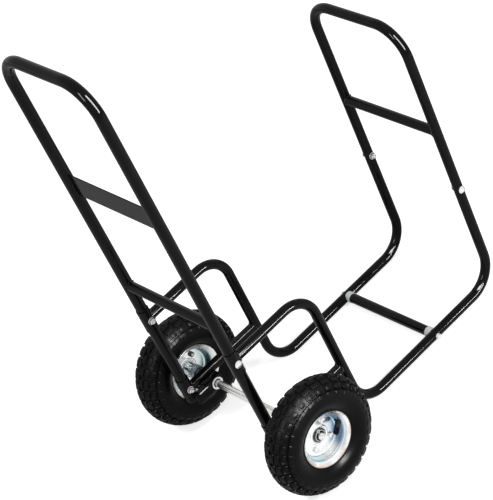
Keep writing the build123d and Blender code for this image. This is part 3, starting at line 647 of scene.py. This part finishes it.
nut_places = [
    place @ on_washer @ Matrix.Rotation(nut_turn * k, 4, "X") for k, place in enumerate(washer_places)
]
nylon = clouded("nylon", 300, (0.02, 0.02, 0.021), (0.036, 0.036, 0.037), 0.36, 0.12, 2)
stamped_washer = washer(neck_radius + washer_play, washer_radius, washer_thickness)
set_out("stamped_washers", stamped_washer, washer_places, *zinc_on_frame, "flat_washers")
lock_nut = turned(lock_nut, hexagon_steps, ring=True)
set_out("hexagon_lock_nuts", lock_nut, nut_places, *zinc_on_frame, "lock_nuts")
for name, profile in (("nylon_nut_rings", nut_insert), ("nylon_nut_seats", nut_shade_ring)):
    nut_ring_or_shade_ring = turned(profile, hexagon_steps, ring=True)
    set_out(name, nut_ring_or_shade_ring, nut_places, nylon, "frame", "nylon")

# Base bolts: zinc-plated steel, with small hexagon heads over a pressed collar, screwed through
# the rails and the saddles into the plugs of the base bar.
base_flat, base_collar, base_head, base_thread, base_bar_y = 5.0, 6.2, 5.6, 31.0, 441.0
base_round_share = 0.95
base_round = base_flat * base_round_share
collar_top, collar_section = 1.4, ((1.3, 0.3), (0.9, 0), (0, 0))
thread_start, thread_end = -2 * tube_radius, -2 * tube_radius - base_thread
base_bolt = [
    (base_head, 0),
    *hexagon(base_flat, base_round, base_head, collar_top),
    *[(level, base_collar - inset) for level, inset in collar_section],
    (0, neck_radius),
    *thread(thread_start, thread_end, neck_radius),
    (thread_end, 0),
]
base_bolt = turned(base_bolt, hexagon_steps)
base_places = cart_spots(rail_out, base_bar_y, 0)
set_out("hexagon_base_bolts", base_bolt, base_places, *zinc_on_frame, "base_crossbar_bolts")

# Axle: one bar of drawn bright steel through both hangers, with fine marks of the die
# along it and a thin film of oil that dulls it in places.
bar_steel = Finish("drawn_axle_steel")


def drawn(grains, detail, rough):
    """Noise drawn out along the axle."""
    sockets = {"Vector": bar_steel.place, "Scale": grains}
    stretched = bar_steel.node("ShaderNodeMapping", sockets)
    return bar_steel.noise(1, detail, rough, stretched)


axle_lines = drawn((3, 700, 700), 3, 0.6)
axle_streaks = bar_steel.ramp(drawn((4, 230, 230), 2, 0.5), (0.36, 0), (0.6, 1))
axle_cloud = bar_steel.noise(22, 3)
axle_shine = bar_steel.blend(axle_lines, (0.72, 0.715, 0.7), (0.94, 0.935, 0.92))
drawn_axle_steel = bar_steel.done(
    Base_Color=bar_steel.blend(axle_streaks, (0.55, 0.545, 0.53), axle_shine),
    Metallic=1.0,
    Roughness=0.16 + axle_lines * 0.1 + axle_cloud * 0.08,
    Normal=bar_steel.bump(axle_lines, 0.12, 0.0002),
)
dress(drawn_axle_steel, "axle")

# Axle washers: push-on lock washers of bright steel, stamped with a raised ring and teeth that
# grip the axle inside the hangers, zinc spacers beside the hubs, and bright washers by the pins.
lock_washer_x, lock_teeth, lock_steps = 113.9, 8, 96
tooth_back, tooth_front, tooth_play, tooth_gap, tooth_share = 0.2, 0.9, 0.15, 2.0, 0.35
lock_section = ((0, 10.4), (0, 13.7), (0.4, 14.0), (1.8, 14.0), (2.2, 13.6), (2.2, 11.4), (1.9, 10.9))


def toothed(place, count, tooth, gap, share=0.0):
    """A rule for a ring of teeth: one radius at each tooth and another between them."""

    def edge(turn):
        return place, tooth if cos(count * turn) > share else gap

    return edge


def from_axle(finish):
    """Place round the axle in decimetres, and the distance from it."""
    sockets = {"Location": axle_line * Vector((0, -10, -10)), "Scale": (0, 10, 10)}
    sockets["Vector"] = finish.place
    place = finish.node("ShaderNodeMapping", sockets, vector_type="POINT")
    return place, finish.node("ShaderNodeVectorMath", {0: place}, out=1, operation="LENGTH")


def bright_steel(name, shade_end):
    """Bright steel with a painted shade: a dark ring next to the axle, out to a distance in decimetres."""
    finish = Finish(name)
    cloud = finish.noise(160, 3)
    # Painted shade: dark steel next to the axle, bright past the given distance.
    past_shade = finish.ramp(from_axle(finish)[1], (shade_end - 0.004, 0), (shade_end, 1))
    skin = finish.blend(cloud, (0.86, 0.865, 0.87), (0.97, 0.965, 0.95))
    return finish.done(
        Base_Color=finish.blend(past_shade, (0.016, 0.016, 0.017), skin),
        Metallic=1.0,
        Roughness=0.26 + cloud * 0.14,
    )


bore_back, bore_front = [
    toothed(place, lock_teeth, axle_radius + tooth_play, axle_radius + tooth_gap, tooth_share)
    for place in (tooth_back, tooth_front)
]
lock_washer = turned([bore_back, *lock_section, bore_front], lock_steps, ring=True)
end_washer_x, end_washer_radius, end_washer_thickness = 225.2, 12.4, 2.2
end_washer = washer(axle_radius + axle_play, end_washer_radius, end_washer_thickness)
lock_steel, end_steel = bright_steel("lock_washer_steel", 0.096), bright_steel("end_washer_steel", 0.116)
for name, shape, x, facing, steel, node in (
    ("toothed_lock_washers", lock_washer, lock_washer_x, -1, lock_steel, "axle_lock_washers"),
    ("bright_end_washers", end_washer, end_washer_x, 1, end_steel, "axle_end_washers"),
):
    places = cart_spots(x, axle_y, axle_z, facing=facing)
    set_out(name, shape, places, steel, "frame", "zinc_fastener", node)
dress(zinc_plated_fastener, "axle_spacer_washers")

# Split pins: one length of zinc-plated wire folded into an eye and two legs, pushed through
# the drilled axle from above and opened below it.
pin_wire, pin_eye, pin_eye_level, pin_crease = 0.8, 3.2, 14.5, 50
split_pin_x, pin_start, pin_sweep, pin_steps = 226.85, radians(-72), radians(324), 24
pin_leg = [(7.4, -10.2), (6.2, -10.8), (4.4, -11.0), (2.6, -10.8), (1.3, -10.2), (pin_wire, -9.0)]
pin_leg += [(pin_wire, 9.2), (0.5 * pin_wire, 10.6)]
pin_turns = [pin_start + pin_sweep * k / pin_steps for k in range(pin_steps + 1)]
pin_path = pin_leg + [(pin_eye * cos(a), pin_eye_level + pin_eye * sin(a)) for a in pin_turns]
pin_path += [(-y, z) for y, z in pin_leg[::-1]]
pin_paths = [[axle_line + Vector((s * split_pin_x, y, z)) * MM for y, z in pin_path] for s in both_sides]
wire_graph, wire = new_tree("bent_wire", Radius="Float", Finish="Material")
wire_line = wire_graph.node("GeometryNodeMeshToCurve", {"Mesh": wire["Geometry"]})
ring_sockets = {"Resolution": 10, "Radius": wire["Radius"]}
wire_ring = wire_graph.node("GeometryNodeCurvePrimitiveCircle", ring_sockets, mode="RADIUS")
skin_sockets = {"Curve": wire_line, "Profile Curve": wire_ring, "Fill Caps": True}
wire_skin = wire_graph.node("GeometryNodeCurveToMesh", skin_sockets)
wire_tree = end_tree(wire_graph, wire_skin, wire["Finish"])
pin_sizes = {"Radius": pin_wire * MM, "Finish": zinc_plated_fastener}
split_pins = grow(seam_mesh("folded_split_pins", pin_paths), wire_tree, pin_crease, **pin_sizes)
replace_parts(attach(split_pins, "frame"), "split_pins")


# Rims: two dished halves pressed from steel sheet, bolted back to back with the hub welded in.
# They are plated with bright zinc, which takes a warm straw tint; their cool blue is painted reflection.
def zinc_pressing(name, disc_painted_reflection, wall_painted_reflection, wall_pale, lip_edge):
    """Bright zinc with painted reflection: a cool blue that deepens on the side of the dish that faces
    back, a pale blue low on the wall, and painted shade in the crease and at the lip's edge.
    """
    finish = Finish(name)
    across, radius = from_axle(finish)
    cloud = finish.noise(40, 3, 0.5)
    wall = finish.ramp(radius, (0.44, 0), (0.465, 1), (0.505, 1), (0.54, 0))
    # Painted shade: a dark ring in the crease where the wall meets the lip.
    step = finish.ramp(radius, (0.492, 0), (0.503, 1), (0.509, 1), (0.52, 0))
    lip = finish.ramp(radius, (0.53, 0), (0.57, 1))
    curl = finish.ramp(radius, (0.588, 0), (0.6, 1), (0.608, 1), (0.62, 0))
    # Painted reflection: dark blue on the side of the dish that faces back, and pale blue low on the wall.
    back = finish.along(across, (0, 0.985, -0.174))
    shade = finish.ramp(back + (cloud - 0.5) * 0.12, (0.2, 0), (0.37, 1))
    down = finish.along(across, (0, -0.875, -0.485))
    low_wall_painted_reflection = finish.ramp(down + (cloud - 0.5) * 0.06, (0.36, 0), (0.43, 1))
    straw = finish.ramp(cloud, (0.42, 0), (0.62, 1))
    disc_tint = finish.blend(shade, (0.96, 0.975, 0.97), disc_painted_reflection)
    wall_tint = finish.blend(low_wall_painted_reflection, wall_pale, (0.66, 0.86, 0.93))
    foot = finish.ramp(radius, (0.49, 1), (0.512, 0))
    wall_tint = finish.blend(shade * foot, wall_tint, wall_painted_reflection)
    lip_tint = finish.blend(straw, (0.96, 0.965, 0.955), (0.8, 0.7, 0.63))
    lip_tint = finish.blend(curl * straw * 0.6, lip_tint, (0.5, 0.4, 0.33))
    dish = finish.blend(wall, disc_tint, wall_tint)
    dish = finish.blend(step * 0.6, dish, (0.16, 0.2, 0.23))
    sockets = {"Vector": across, "Scale": 22, "Distortion": 1.2, "Detail": 2}
    rings = finish.node("ShaderNodeTexWave", sockets, wave_type="RINGS", rings_direction="X")
    # Painted shade: the lip darkens at its outer edge, where the tyre meets it, as strongly as lip_edge
    # asks.
    lip_gap_shade = finish.ramp(radius, (0.607, 0), (0.617, lip_edge))
    lip_tint = finish.blend(lip_gap_shade, lip_tint, (0.02, 0.018, 0.017))
    return finish.done(
        Base_Color=finish.blend(lip, dish, lip_tint),
        Metallic=1.0 - wall * 0.45,
        Roughness=0.2 + cloud * 0.12,
        Normal=finish.bump(rings, 0.02, 0.0002),
    )


bright_zinc_pressing = zinc_pressing(
    "bright_zinc_pressing", (0.4, 0.54, 0.68), (0.17, 0.29, 0.43), (0.97, 0.98, 0.98), 1.0
)
# Painted shade: the inner halves take a darker copy of the zinc, with a deep teal painted reflection and
# no dark lip edge.
inner_zinc_pressing = zinc_pressing(
    "inner_zinc_pressing", (0.62, 0.74, 0.76), (0.05, 0.11, 0.12), (0.8, 0.9, 0.9), 0.0
)

# Rim bolts and nuts: four zinc-plated hexagon bolts through both halves, chamfered on their
# corners, with blackened steel nuts in the inner dish and thread past them.
rim_bolt_radius, rim_bolt_turn, rim_bolt_count = 31.5, radians(45), 4
rim_face, rim_bolt_head, rim_nut_height = 2.04, 5.0, 5.2
rim_flat, head_foot, head_foot_in, head_seat_in = 5.5, 0.5, 0.3, 0.4
rim_round = rim_flat * round_share
rim_bolt_top = rim_face + rim_bolt_head
rim_nut_end = -rim_face - rim_nut_height


def outboard(shape, radius, side):
    """Moves a turned shape out to a radius of a wheel, facing away from the cart."""
    bmesh.ops.scale(shape, vec=(side, 1, 1), verts=shape.verts)
    bmesh.ops.translate(shape, vec=(0, radius, 0), verts=shape.verts)
    bmesh.ops.recalc_face_normals(shape, faces=shape.faces)
    return shape


rim_bolt = [
    (rim_bolt_top, 0),
    *hexagon(rim_flat, rim_round, rim_bolt_top, rim_face + head_foot),
    (rim_face + head_foot, rim_round - head_foot_in),
    (rim_face, rim_round - head_seat_in), (rim_face, bolt_radius),
    *thread(-rim_face, rim_nut_end - bolt_tail, bolt_radius),
    (rim_nut_end - bolt_tail, 0),
]
rim_nut = [
    (-rim_face, nut_bore),
    *hexagon(rim_flat, rim_round, -rim_face, rim_nut_end, -1),
    (rim_nut_end, rim_round), (rim_nut_end, nut_bore),
]


def ring_of(side_name, piece, shape, count, finish, slot, node, base=None, start=0.0):
    """Repeats a shape round a wheel's axle, on a base where there is one."""
    wheel = f"{side_name}_wheel"
    middle = Matrix.Translation(wheel_centres[wheel])
    places = [middle @ Matrix.Rotation(start + 2 * pi * k / count, 4, "X") for k in range(count)]
    set_out(f"{side_name}_{piece}", shape, places, finish, wheel, slot, f"{side_name}_{node}", base)


blackened_nut_steel = clouded(
    "blackened_nut_steel", 160, (0.05, 0.05, 0.052), (0.1, 0.1, 0.1), 0.3, 0.14, Metallic=1.0
)
hub_tube_zinc = clouded(
    "hub_tube_zinc", 60, (0.5, 0.55, 0.57), (0.64, 0.69, 0.7), 0.12, 0.08, Metallic=1.0
)
for side_name, side in sides:
    dress(bright_zinc_pressing, f"{side_name}_rim_outer_half")
    dress(hub_tube_zinc, f"{side_name}_hub")
    dress(inner_zinc_pressing, f"{side_name}_rim_inner_half")
    for profile, closed, piece, node, finish in (
        (rim_bolt, False, "hexagon_bolts", "rim_bolts", zinc_plated_fastener),
        (rim_nut, True, "hexagon_nuts", "rim_nuts", blackened_nut_steel),
    ):
        shape = outboard(turned(profile, hexagon_steps, closed), rim_bolt_radius, side)
        labels = (finish, "zinc_fastener", node)
        ring_of(side_name, piece, shape, rim_bolt_count, *labels, start=rim_bolt_turn)

# Hub welds: a steel bead round each hub where it meets the discs, laid before the wheel was
# plated, so it is as bright as the rim.
hub_radius, hub_seam_reach, hub_seam_steps = 16.5, -2.34, 48
hub_bead, hub_bead_step, hub_seed = 2.6, 1.3, 7
for side_name, side in sides:
    wheel = f"{side_name}_wheel"
    hub_seam = [
        wheel_centres[wheel] + Vector((side * hub_seam_reach, y, z)) * MM
        for y, z in round_outline(hub_radius + bead_lift, hub_seam_steps)
    ]
    name = f"{side_name}_hub_weld"
    hub_weld = weld(name, [hub_seam], hub_bead, hub_bead_step, hub_seed, bright_zinc_pressing)
    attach(hub_weld, wheel)

# Hub bushes: flanged sleeves of dark nylon pushed into both ends of the hub, which the wheel
# turns on. Their flanges show as a dark ring round the end washer.
hub_inner_end, hub_outer_end = -44.0, 2.5
bush_radius, bush_bore, bush_depth, bush_steps = 11.48, 8.05, 15.0, 40
bush_flange_radius, bush_flange, bush_ease = 15.8, 1.8, 0.4


def flanged_bush(end, out, side):
    """One bush at an end of the hub, with its flange on the side that faces out."""
    section = [(-bush_depth, bush_bore), (-bush_depth, bush_radius), (0, bush_radius)]
    section += [(0, bush_flange_radius), (bush_flange - bush_ease, bush_flange_radius)]
    section += [(bush_flange, bush_flange_radius - bush_ease), (bush_flange, bush_bore)]
    bush = turned([(end + out * x, radius) for x, radius in section], bush_steps, ring=True)
    return outboard(bush, 0, side)


for side_name, side in sides:
    outer, inner = flanged_bush(hub_outer_end, 1, side), flanged_bush(hub_inner_end, -1, side)
    ring_of(side_name, "flanged_bushes", outer, 1, nylon, "nylon", "hub_bushes", inner)

# Tyres: black rubber moulded with three rows of blocks on each side of a zigzag groove,
# the two sides half a block out of step, with buttons on the shoulder and short bars on
# the wall below them. The beads sit in the rim's flanges.
crown_radius, tread_half, tread_drop = 130.0, 30.0, 12.0
shoulder, belly, bead_heel = (39.0, 103.0), (41.0, 89.0), (31.0, 66.0)
lug_count, groove_depth, bar_depth, root_depth = 30, 3.5, 0.8, 1.0
tread_end, bar_start, bar_end, wall_start = 42.5, 44.0, 56.0, 58.5
crown_steps, slope_steps, wall_steps, bead_steps, skin_step = 30, 12, 12, 18, 1.5


def arc_points(centre, radius, start, end, steps):
    """Points along an arc in the tyre's section, from one angle to another."""
    spread = [start + (end - start) * k / steps for k in range(steps + 1)]
    return [(centre[0] + radius * cos(a), centre[1] + radius * sin(a)) for a in spread]


def bulge_arc(end, steps):
    """Arc from the belly, where the wall stands upright, to a point of the section."""
    inset, rise = belly[0] - end[0], end[1] - belly[1]
    radius = (inset**2 + rise**2) / (2 * inset)
    return arc_points((belly[0] - radius, belly[1]), radius, 0, asin(rise / radius), steps)


crown_arc = (tread_half**2 + tread_drop**2) / (2 * tread_drop)
crown_end = pi / 2 - asin(tread_half / crown_arc)
skin = arc_points((0, crown_radius - crown_arc), crown_arc, pi / 2, crown_end, crown_steps)
tread_edge = skin[-1]
skin += [
    tuple(a + (b - a) * k / slope_steps for a, b in zip(tread_edge, shoulder))
    for k in range(1, slope_steps)
]
skin += bulge_arc(shoulder, wall_steps)[::-1]
skin += bulge_arc(bead_heel, bead_steps)[1:]
skin = np.array(skin)
skin_run = np.concatenate([[0], np.cumsum(np.hypot(*np.diff(skin, axis=0).T))])


def on_skin(run, height):
    """Reach and radius of a point of the tyre's section, by its run from the crown and its height."""
    place, ahead, back = [
        [np.interp(at, skin_run, skin[:, axis]) for axis in (0, 1)]
        for at in (run, run + skin_step, max(run - skin_step, 0))
    ]
    along = Vector((ahead[0] - back[0], ahead[1] - back[1])).normalized()
    if run == 0:
        along = Vector((1, 0))
    return place[0] - along.y * height, place[1] + along.x * height


def floor_height(run):
    """How far the ground between the blocks lies under their tops."""
    runs = (0, tread_end, bar_start, bar_end, wall_start, skin_run[-1])
    return float(np.interp(run, runs, (-groove_depth, -groove_depth, -bar_depth, -bar_depth, 0, 0)))


def eased(outline, cut, cut_limit=0.45):
    """An outline of turn and run with each corner cut to two points."""
    points = []
    for k, (turn, run) in enumerate(outline):
        for other in (outline[k - 1], outline[(k + 1) % len(outline)]):
            width = hypot((other[0] - turn) * 2, other[1] - run)
            share = min(cut / width, cut_limit)
            points.append((turn + (other[0] - turn) * share, run + (other[1] - run) * share))
    return points


def add_block(shape, outline, levels, side, shift):
    """A raised block from rings of an outline: each level is a height and a share of its width."""
    middle = [sum(axis) / len(outline) for axis in zip(*outline)]
    rings = []
    for height, share in levels:
        ring = []
        for corner in outline:
            turn, run = [m + (c - m) * share for m, c in zip(middle, corner)]
            reach, radius = on_skin(run, height)
            angle = radians(turn + shift)
            ring.append((side * reach, radius * cos(angle), radius * sin(angle)))
        rings.append(ring)
    skinned(shape, rings)


crown_block = eased([(-4.6, 10.4), (4.6, 10.4), (4.6, 3.6), (2.7, 0.4), (-2.7, 0.4), (-4.6, 3.6)], 0.9)
middle_block = eased([(-4.5, 24.6), (4.5, 24.6), (4.5, 13.4), (-4.5, 13.4)], 1.8)
button_half = [(3.4, 42.2), (4.7, 38.4), (4.7, 31.4), (3.1, 27.6)]
button = [(-3.4, 42.2), *button_half, *[(-turn, run) for turn, run in button_half[:0:-1]]]
button = eased(button, 0.9)
wall_bar = eased([(-3.6, 55.0), (3.6, 55.0), (4.1, 44.2), (-4.1, 44.2)], 1.2)
block_root, bar_root = -groove_depth - root_depth, -bar_depth - root_depth
block_levels = [(block_root, 1.06), (-0.7, 1.0), (-0.15, 0.955), (0, 0.87)]
button_levels = [(block_root, 1.05), (-1.0, 1.0), (-0.5, 0.95), (-0.5, 0.8), (-1.5, 0.72)]
button_levels += [(-1.5, 0.66), (-0.4, 0.6), (0, 0.5)]
bar_levels = [(bar_root, 1.05), (-0.45, 1.0), (-0.1, 0.93), (0, 0.82)]
block_pitch = 360 / lug_count


def tread_pitch(side):
    """All the blocks in one pitch of a tyre, on both sides of the zigzag groove."""
    shape = bmesh.new()
    for half, shift in ((1, 0), (-1, block_pitch / 2)):
        for outline, levels in (
            (crown_block, block_levels),
            (middle_block, block_levels),
            (button, button_levels),
            (wall_bar, bar_levels),
        ):
            add_block(shape, outline, levels, half * side, shift)
    return shape


tyre_wall, lining_end, tyre_steps = 5.5, 70, 180
tread_rows, bar_rows, wall_rows = 24, 10, 26
bead_section = [(30.2, 63.0), (23.0, 60.5), (21.5, 66.0), (29.0, 72.0)]


def carcass(side):
    """The tyre under its blocks, as a hollow ring that is closed at both beads."""
    runs = [*np.linspace(0, tread_end, tread_rows), *np.linspace(bar_start, bar_end, bar_rows)]
    runs += [*np.linspace(wall_start, skin_run[-1], wall_rows)]
    half = [on_skin(run, floor_height(run)) for run in runs] + bead_section
    half += [on_skin(run, floor_height(run) - tyre_wall) for run in runs[::-2] if run < lining_end]
    profile = half + [(-reach, radius) for reach, radius in half[::-1]]
    return turned([(side * reach, radius) for reach, radius in profile], tyre_steps, ring=True)


rubber = Finish("tyre_rubber_compound")
rubber_cloud = rubber.noise(30, 4, 0.6)
rubber_grain = rubber.noise(800, 3, 0.6)
rubber_wall = rubber.ramp(from_axle(rubber)[1] * 0.5, (0.56, 1), (0.61, 0))
rubber_bloom = rubber.ramp(rubber.noise(14, 3), (0.45, 0), (0.75, 1))
tyre_rubber_compound = rubber.done(
    Base_Color=rubber.blend(rubber_bloom, (0.0014, 0.0014, 0.0015), (0.003, 0.003, 0.0034)),
    Roughness=0.38 + rubber_cloud * 0.12 - rubber_wall * 0.14,
    Specular_IOR_Level=0.07,
    Normal=rubber.bump(rubber_grain, 0.18, 0.0003),
)
for side_name, side in sides:
    labels = (tyre_rubber_compound, "tyre_rubber", "tyre")
    ring_of(side_name, "block_tyre", tread_pitch(side), lug_count, *labels, carcass(side))
    dress(tyre_rubber_compound, f"{side_name}_inner_tube")

# Valves: moulded rubber stems on the inner tubes, drawn out through the outer rim halves up
# to a thick collar, with ribbed plastic caps on their threads.
valve_rubber = clouded(
    "valve_rubber", 120, (0.003, 0.003, 0.0045), (0.006, 0.006, 0.009), 0.36, 0.14, Specular_IOR_Level=0.15
)
valve_cap_plastic = clouded(
    "valve_cap_plastic", 90, (0.002, 0.002, 0.005), (0.004, 0.004, 0.011), 0.3, 0.1,
    detail=2, Specular_IOR_Level=0.06,
)
valve_reach, valve_seat, valve_tilt = 14.5, 47.33, radians(36)
stem_foot, stem_neck, stem_collar, stem_end, stem_steps = -19.0, 4.0, 6.4, 21.0, 32
stem_swell = ((2.0, stem_neck), (3.2, stem_collar), (6.0, stem_collar))
stem_curl = ((1.4, 0.5), (0.4, 0.8), (0, 1.4))
valve_thread, cap_radius, cap_mouth, cap_end, cap_steps = 2.75, 5.7, 21.1, 33.5, 80
cap_ribs, rib_height, rib_start, rib_end, cap_lip = 20, 0.3, 0.5, 1.4, 0.4
cap_crown, cap_bore = ((0.5, 0.3), (0, 0.9)), valve_thread + 0.1
thread_top, cap_floor = cap_end - 1.6, cap_end - 1.5
valve_stem = [
    (stem_foot, 0), (stem_foot, stem_neck), *stem_swell,
    *[(stem_end - drop, stem_collar - inset) for drop, inset in stem_curl],
    (stem_end, valve_thread), (thread_top, valve_thread), (thread_top, 0),
]
cap_grip = [
    toothed(place, cap_ribs, cap_radius + rib_height, cap_radius)
    for place in (cap_mouth + rib_start, cap_end - rib_end)
]
valve_cap = [
    (cap_floor, 0), (cap_floor, cap_bore), (cap_mouth, cap_bore),
    (cap_mouth, cap_radius - cap_lip), *cap_grip,
    *[(cap_end - drop, cap_radius - inset) for drop, inset in cap_crown],
    (cap_end, 0),
]
for side_name, side in sides:
    wheel = f"{side_name}_wheel"
    valve_foot = wheel_centres[wheel] + Vector((side * valve_reach, valve_seat, 0)) * MM
    valve_turn = Matrix.Rotation(atan2(-cos(valve_tilt), side * sin(valve_tilt)), 4, "Z")
    valve_places = [Matrix.Translation(valve_foot) @ valve_turn]
    for profile, steps, piece, node, finish, slot in (
        (valve_stem, stem_steps, "thick_valve_stem", "valve_stem", valve_rubber, "black_rubber"),
        (valve_cap, cap_steps, "ribbed_valve_cap", "valve_cap", valve_cap_plastic, "black_plastic"),
    ):
        labels = (finish, wheel, slot, f"{side_name}_{node}")
        set_out(f"{side_name}_{piece}", turned(profile, steps), valve_places, *labels)

# Studio: a white paper floor, two soft lamps, four strips that only draw highlights on the
# black pieces, and a camera where the photographer stood.
focal_pixels, picture_pixels = 2495.35, 500
camera_data = bpy.data.cameras.new("photo_camera")
camera_data.sensor_fit = "VERTICAL"
camera_data.sensor_height = 36
camera_data.sensor_width = 36
camera_data.lens = focal_pixels / picture_pixels * camera_data.sensor_height
camera_data.clip_end = 60
camera = in_scene("photo_camera", camera_data)
view_right = Vector((0.625582, 0.673238, -0.394205))
view_down = Vector((0.277796, -0.664396, -0.693835))
view_ahead = Vector((-0.729024, 0.324542, -0.602657))
camera_turn = Matrix((view_right, -view_down, -view_ahead)).transposed().to_4x4()
camera.matrix_world = Matrix.Translation((3.720318, -1.747463, 3.504284)) @ camera_turn
bpy.context.scene.camera = camera

world = bpy.data.worlds.new("white_room")
bpy.context.scene.world = world
world.use_nodes = True
room = Graph(world.node_tree)
room.tree.nodes.clear()
seen, glossy, through = [
    room.node("ShaderNodeLightPath", out=f"Is {ray} Ray") for ray in ("Camera", "Glossy", "Transmission")
]
white, grey = [
    room.node("ShaderNodeBackground", {"Color": (1, 1, 1), "Strength": level})
    for level in (1.0, 0.45)
]
shown = seen.math("MAXIMUM", seen.math("MAXIMUM", seen, glossy), through)
lit = room.node("ShaderNodeMixShader", {0: shown, 1: grey, 2: white})
room.node("ShaderNodeOutputWorld", {"Surface": lit})

floor_mesh = bpy.data.meshes.new("studio_floor")
floor_half = 12.0
floor_corners = [(x * floor_half, y * floor_half, 0) for x, y in ((-1, -1), (1, -1), (1, 1), (-1, 1))]
floor_mesh.from_pydata(floor_corners, [], [(0, 1, 2, 3)])
floor = in_scene("studio_floor", floor_mesh)
sweep = Finish("studio_paper")
paper = sweep.node("ShaderNodeBsdfDiffuse", {"Color": (0.8, 0.8, 0.8)})
strong, faint, painted_shade_glow = [
    sweep.node("ShaderNodeEmission", {"Color": (1, 1, 1), "Strength": level})
    for level in (0.62, 0.32, 0.5)
]
bright = sweep.node("ShaderNodeAddShader", {0: paper, 1: strong})
mirrored = sweep.node("ShaderNodeAddShader", {0: paper, 1: faint})
# Painted shade in reflections: glossy rays see the floor away from the side lamp as a dim glow without the
# paper, so metal shows a darker floor under the cart.
lamp_side = sweep.ramp(sweep.along(sweep.place, (0.5, -0.3, 0)) + 0.5, (0.38, 0), (0.53, 1))
mirrored = sweep.node("ShaderNodeMixShader", {0: lamp_side, 1: painted_shade_glow, 2: mirrored})
seen, glossy = [
    sweep.node("ShaderNodeLightPath", out=f"Is {ray} Ray") for ray in ("Camera", "Glossy")
]
sheet = sweep.node("ShaderNodeMixShader", {0: glossy, 1: paper, 2: mirrored})
sheet = sweep.node("ShaderNodeMixShader", {0: seen, 1: sheet, 2: bright})
sweep.node("ShaderNodeOutputMaterial", {"Surface": sheet})
floor_mesh.materials.append(sweep.material)

black_finishes = (black_powder_coat, moulded_black_plastic, tyre_rubber_compound, valve_rubber)
black_pieces, side_rails, square_bearers = [
    bpy.data.collections.new(name) for name in ("black_pieces", "side_rails", "square_bearers")
]
for piece in bpy.context.scene.objects:
    black = any(holder.material in black_finishes for holder in piece.material_slots)
    if black and not piece.name.endswith("crossbar"):
        black_pieces.objects.link(piece)
for rail_name, bearer in zip(("left_side_rail", "right_side_rail"), bearers):
    side_rails.objects.link(nodes[rail_name])
    square_bearers.objects.link(bearer)


def lamp(name, place, width, height, watts, shine=None):
    """A soft lamp that faces the cart. With pieces to shine on, it only shows as their highlight."""
    data = bpy.data.lights.new(name, "AREA")
    data.shape = "RECTANGLE"
    data.size = width
    data.size_y = height
    data.energy = watts
    made = in_scene(name, data)
    made.location = place
    made.rotation_euler = (Vector((0, 0, 0.5)) - Vector(place)).to_track_quat("-Z", "Y").to_euler()
    made.visible_diffuse = shine is None
    made.visible_glossy = shine is not None
    if shine:
        made.light_linking.receiver_collection = shine


lamp("side_lamp", (2.75, 0.8, 1.75), 0.6, 0.6, 57)
lamp("top_lamp", (0.55, -1.65, 3.3), 0.7, 0.7, 45)
lamp("side_strip", (1.8, 0.1, 1.6), 0.65, 1.9, 375, black_pieces)
lamp("rear_strip", (0.7, -2.05, 2.2), 0.25, 1.0, 50, black_pieces)
lamp("low_strip", (2.4, 0.7, 0.12), 1.0, 0.14, 140, side_rails)
lamp("bearer_strip", (2.4, 0.84, 1.13), 0.4, 0.5, 120, square_bearers)

bpy.context.scene.view_settings.view_transform = "Standard"
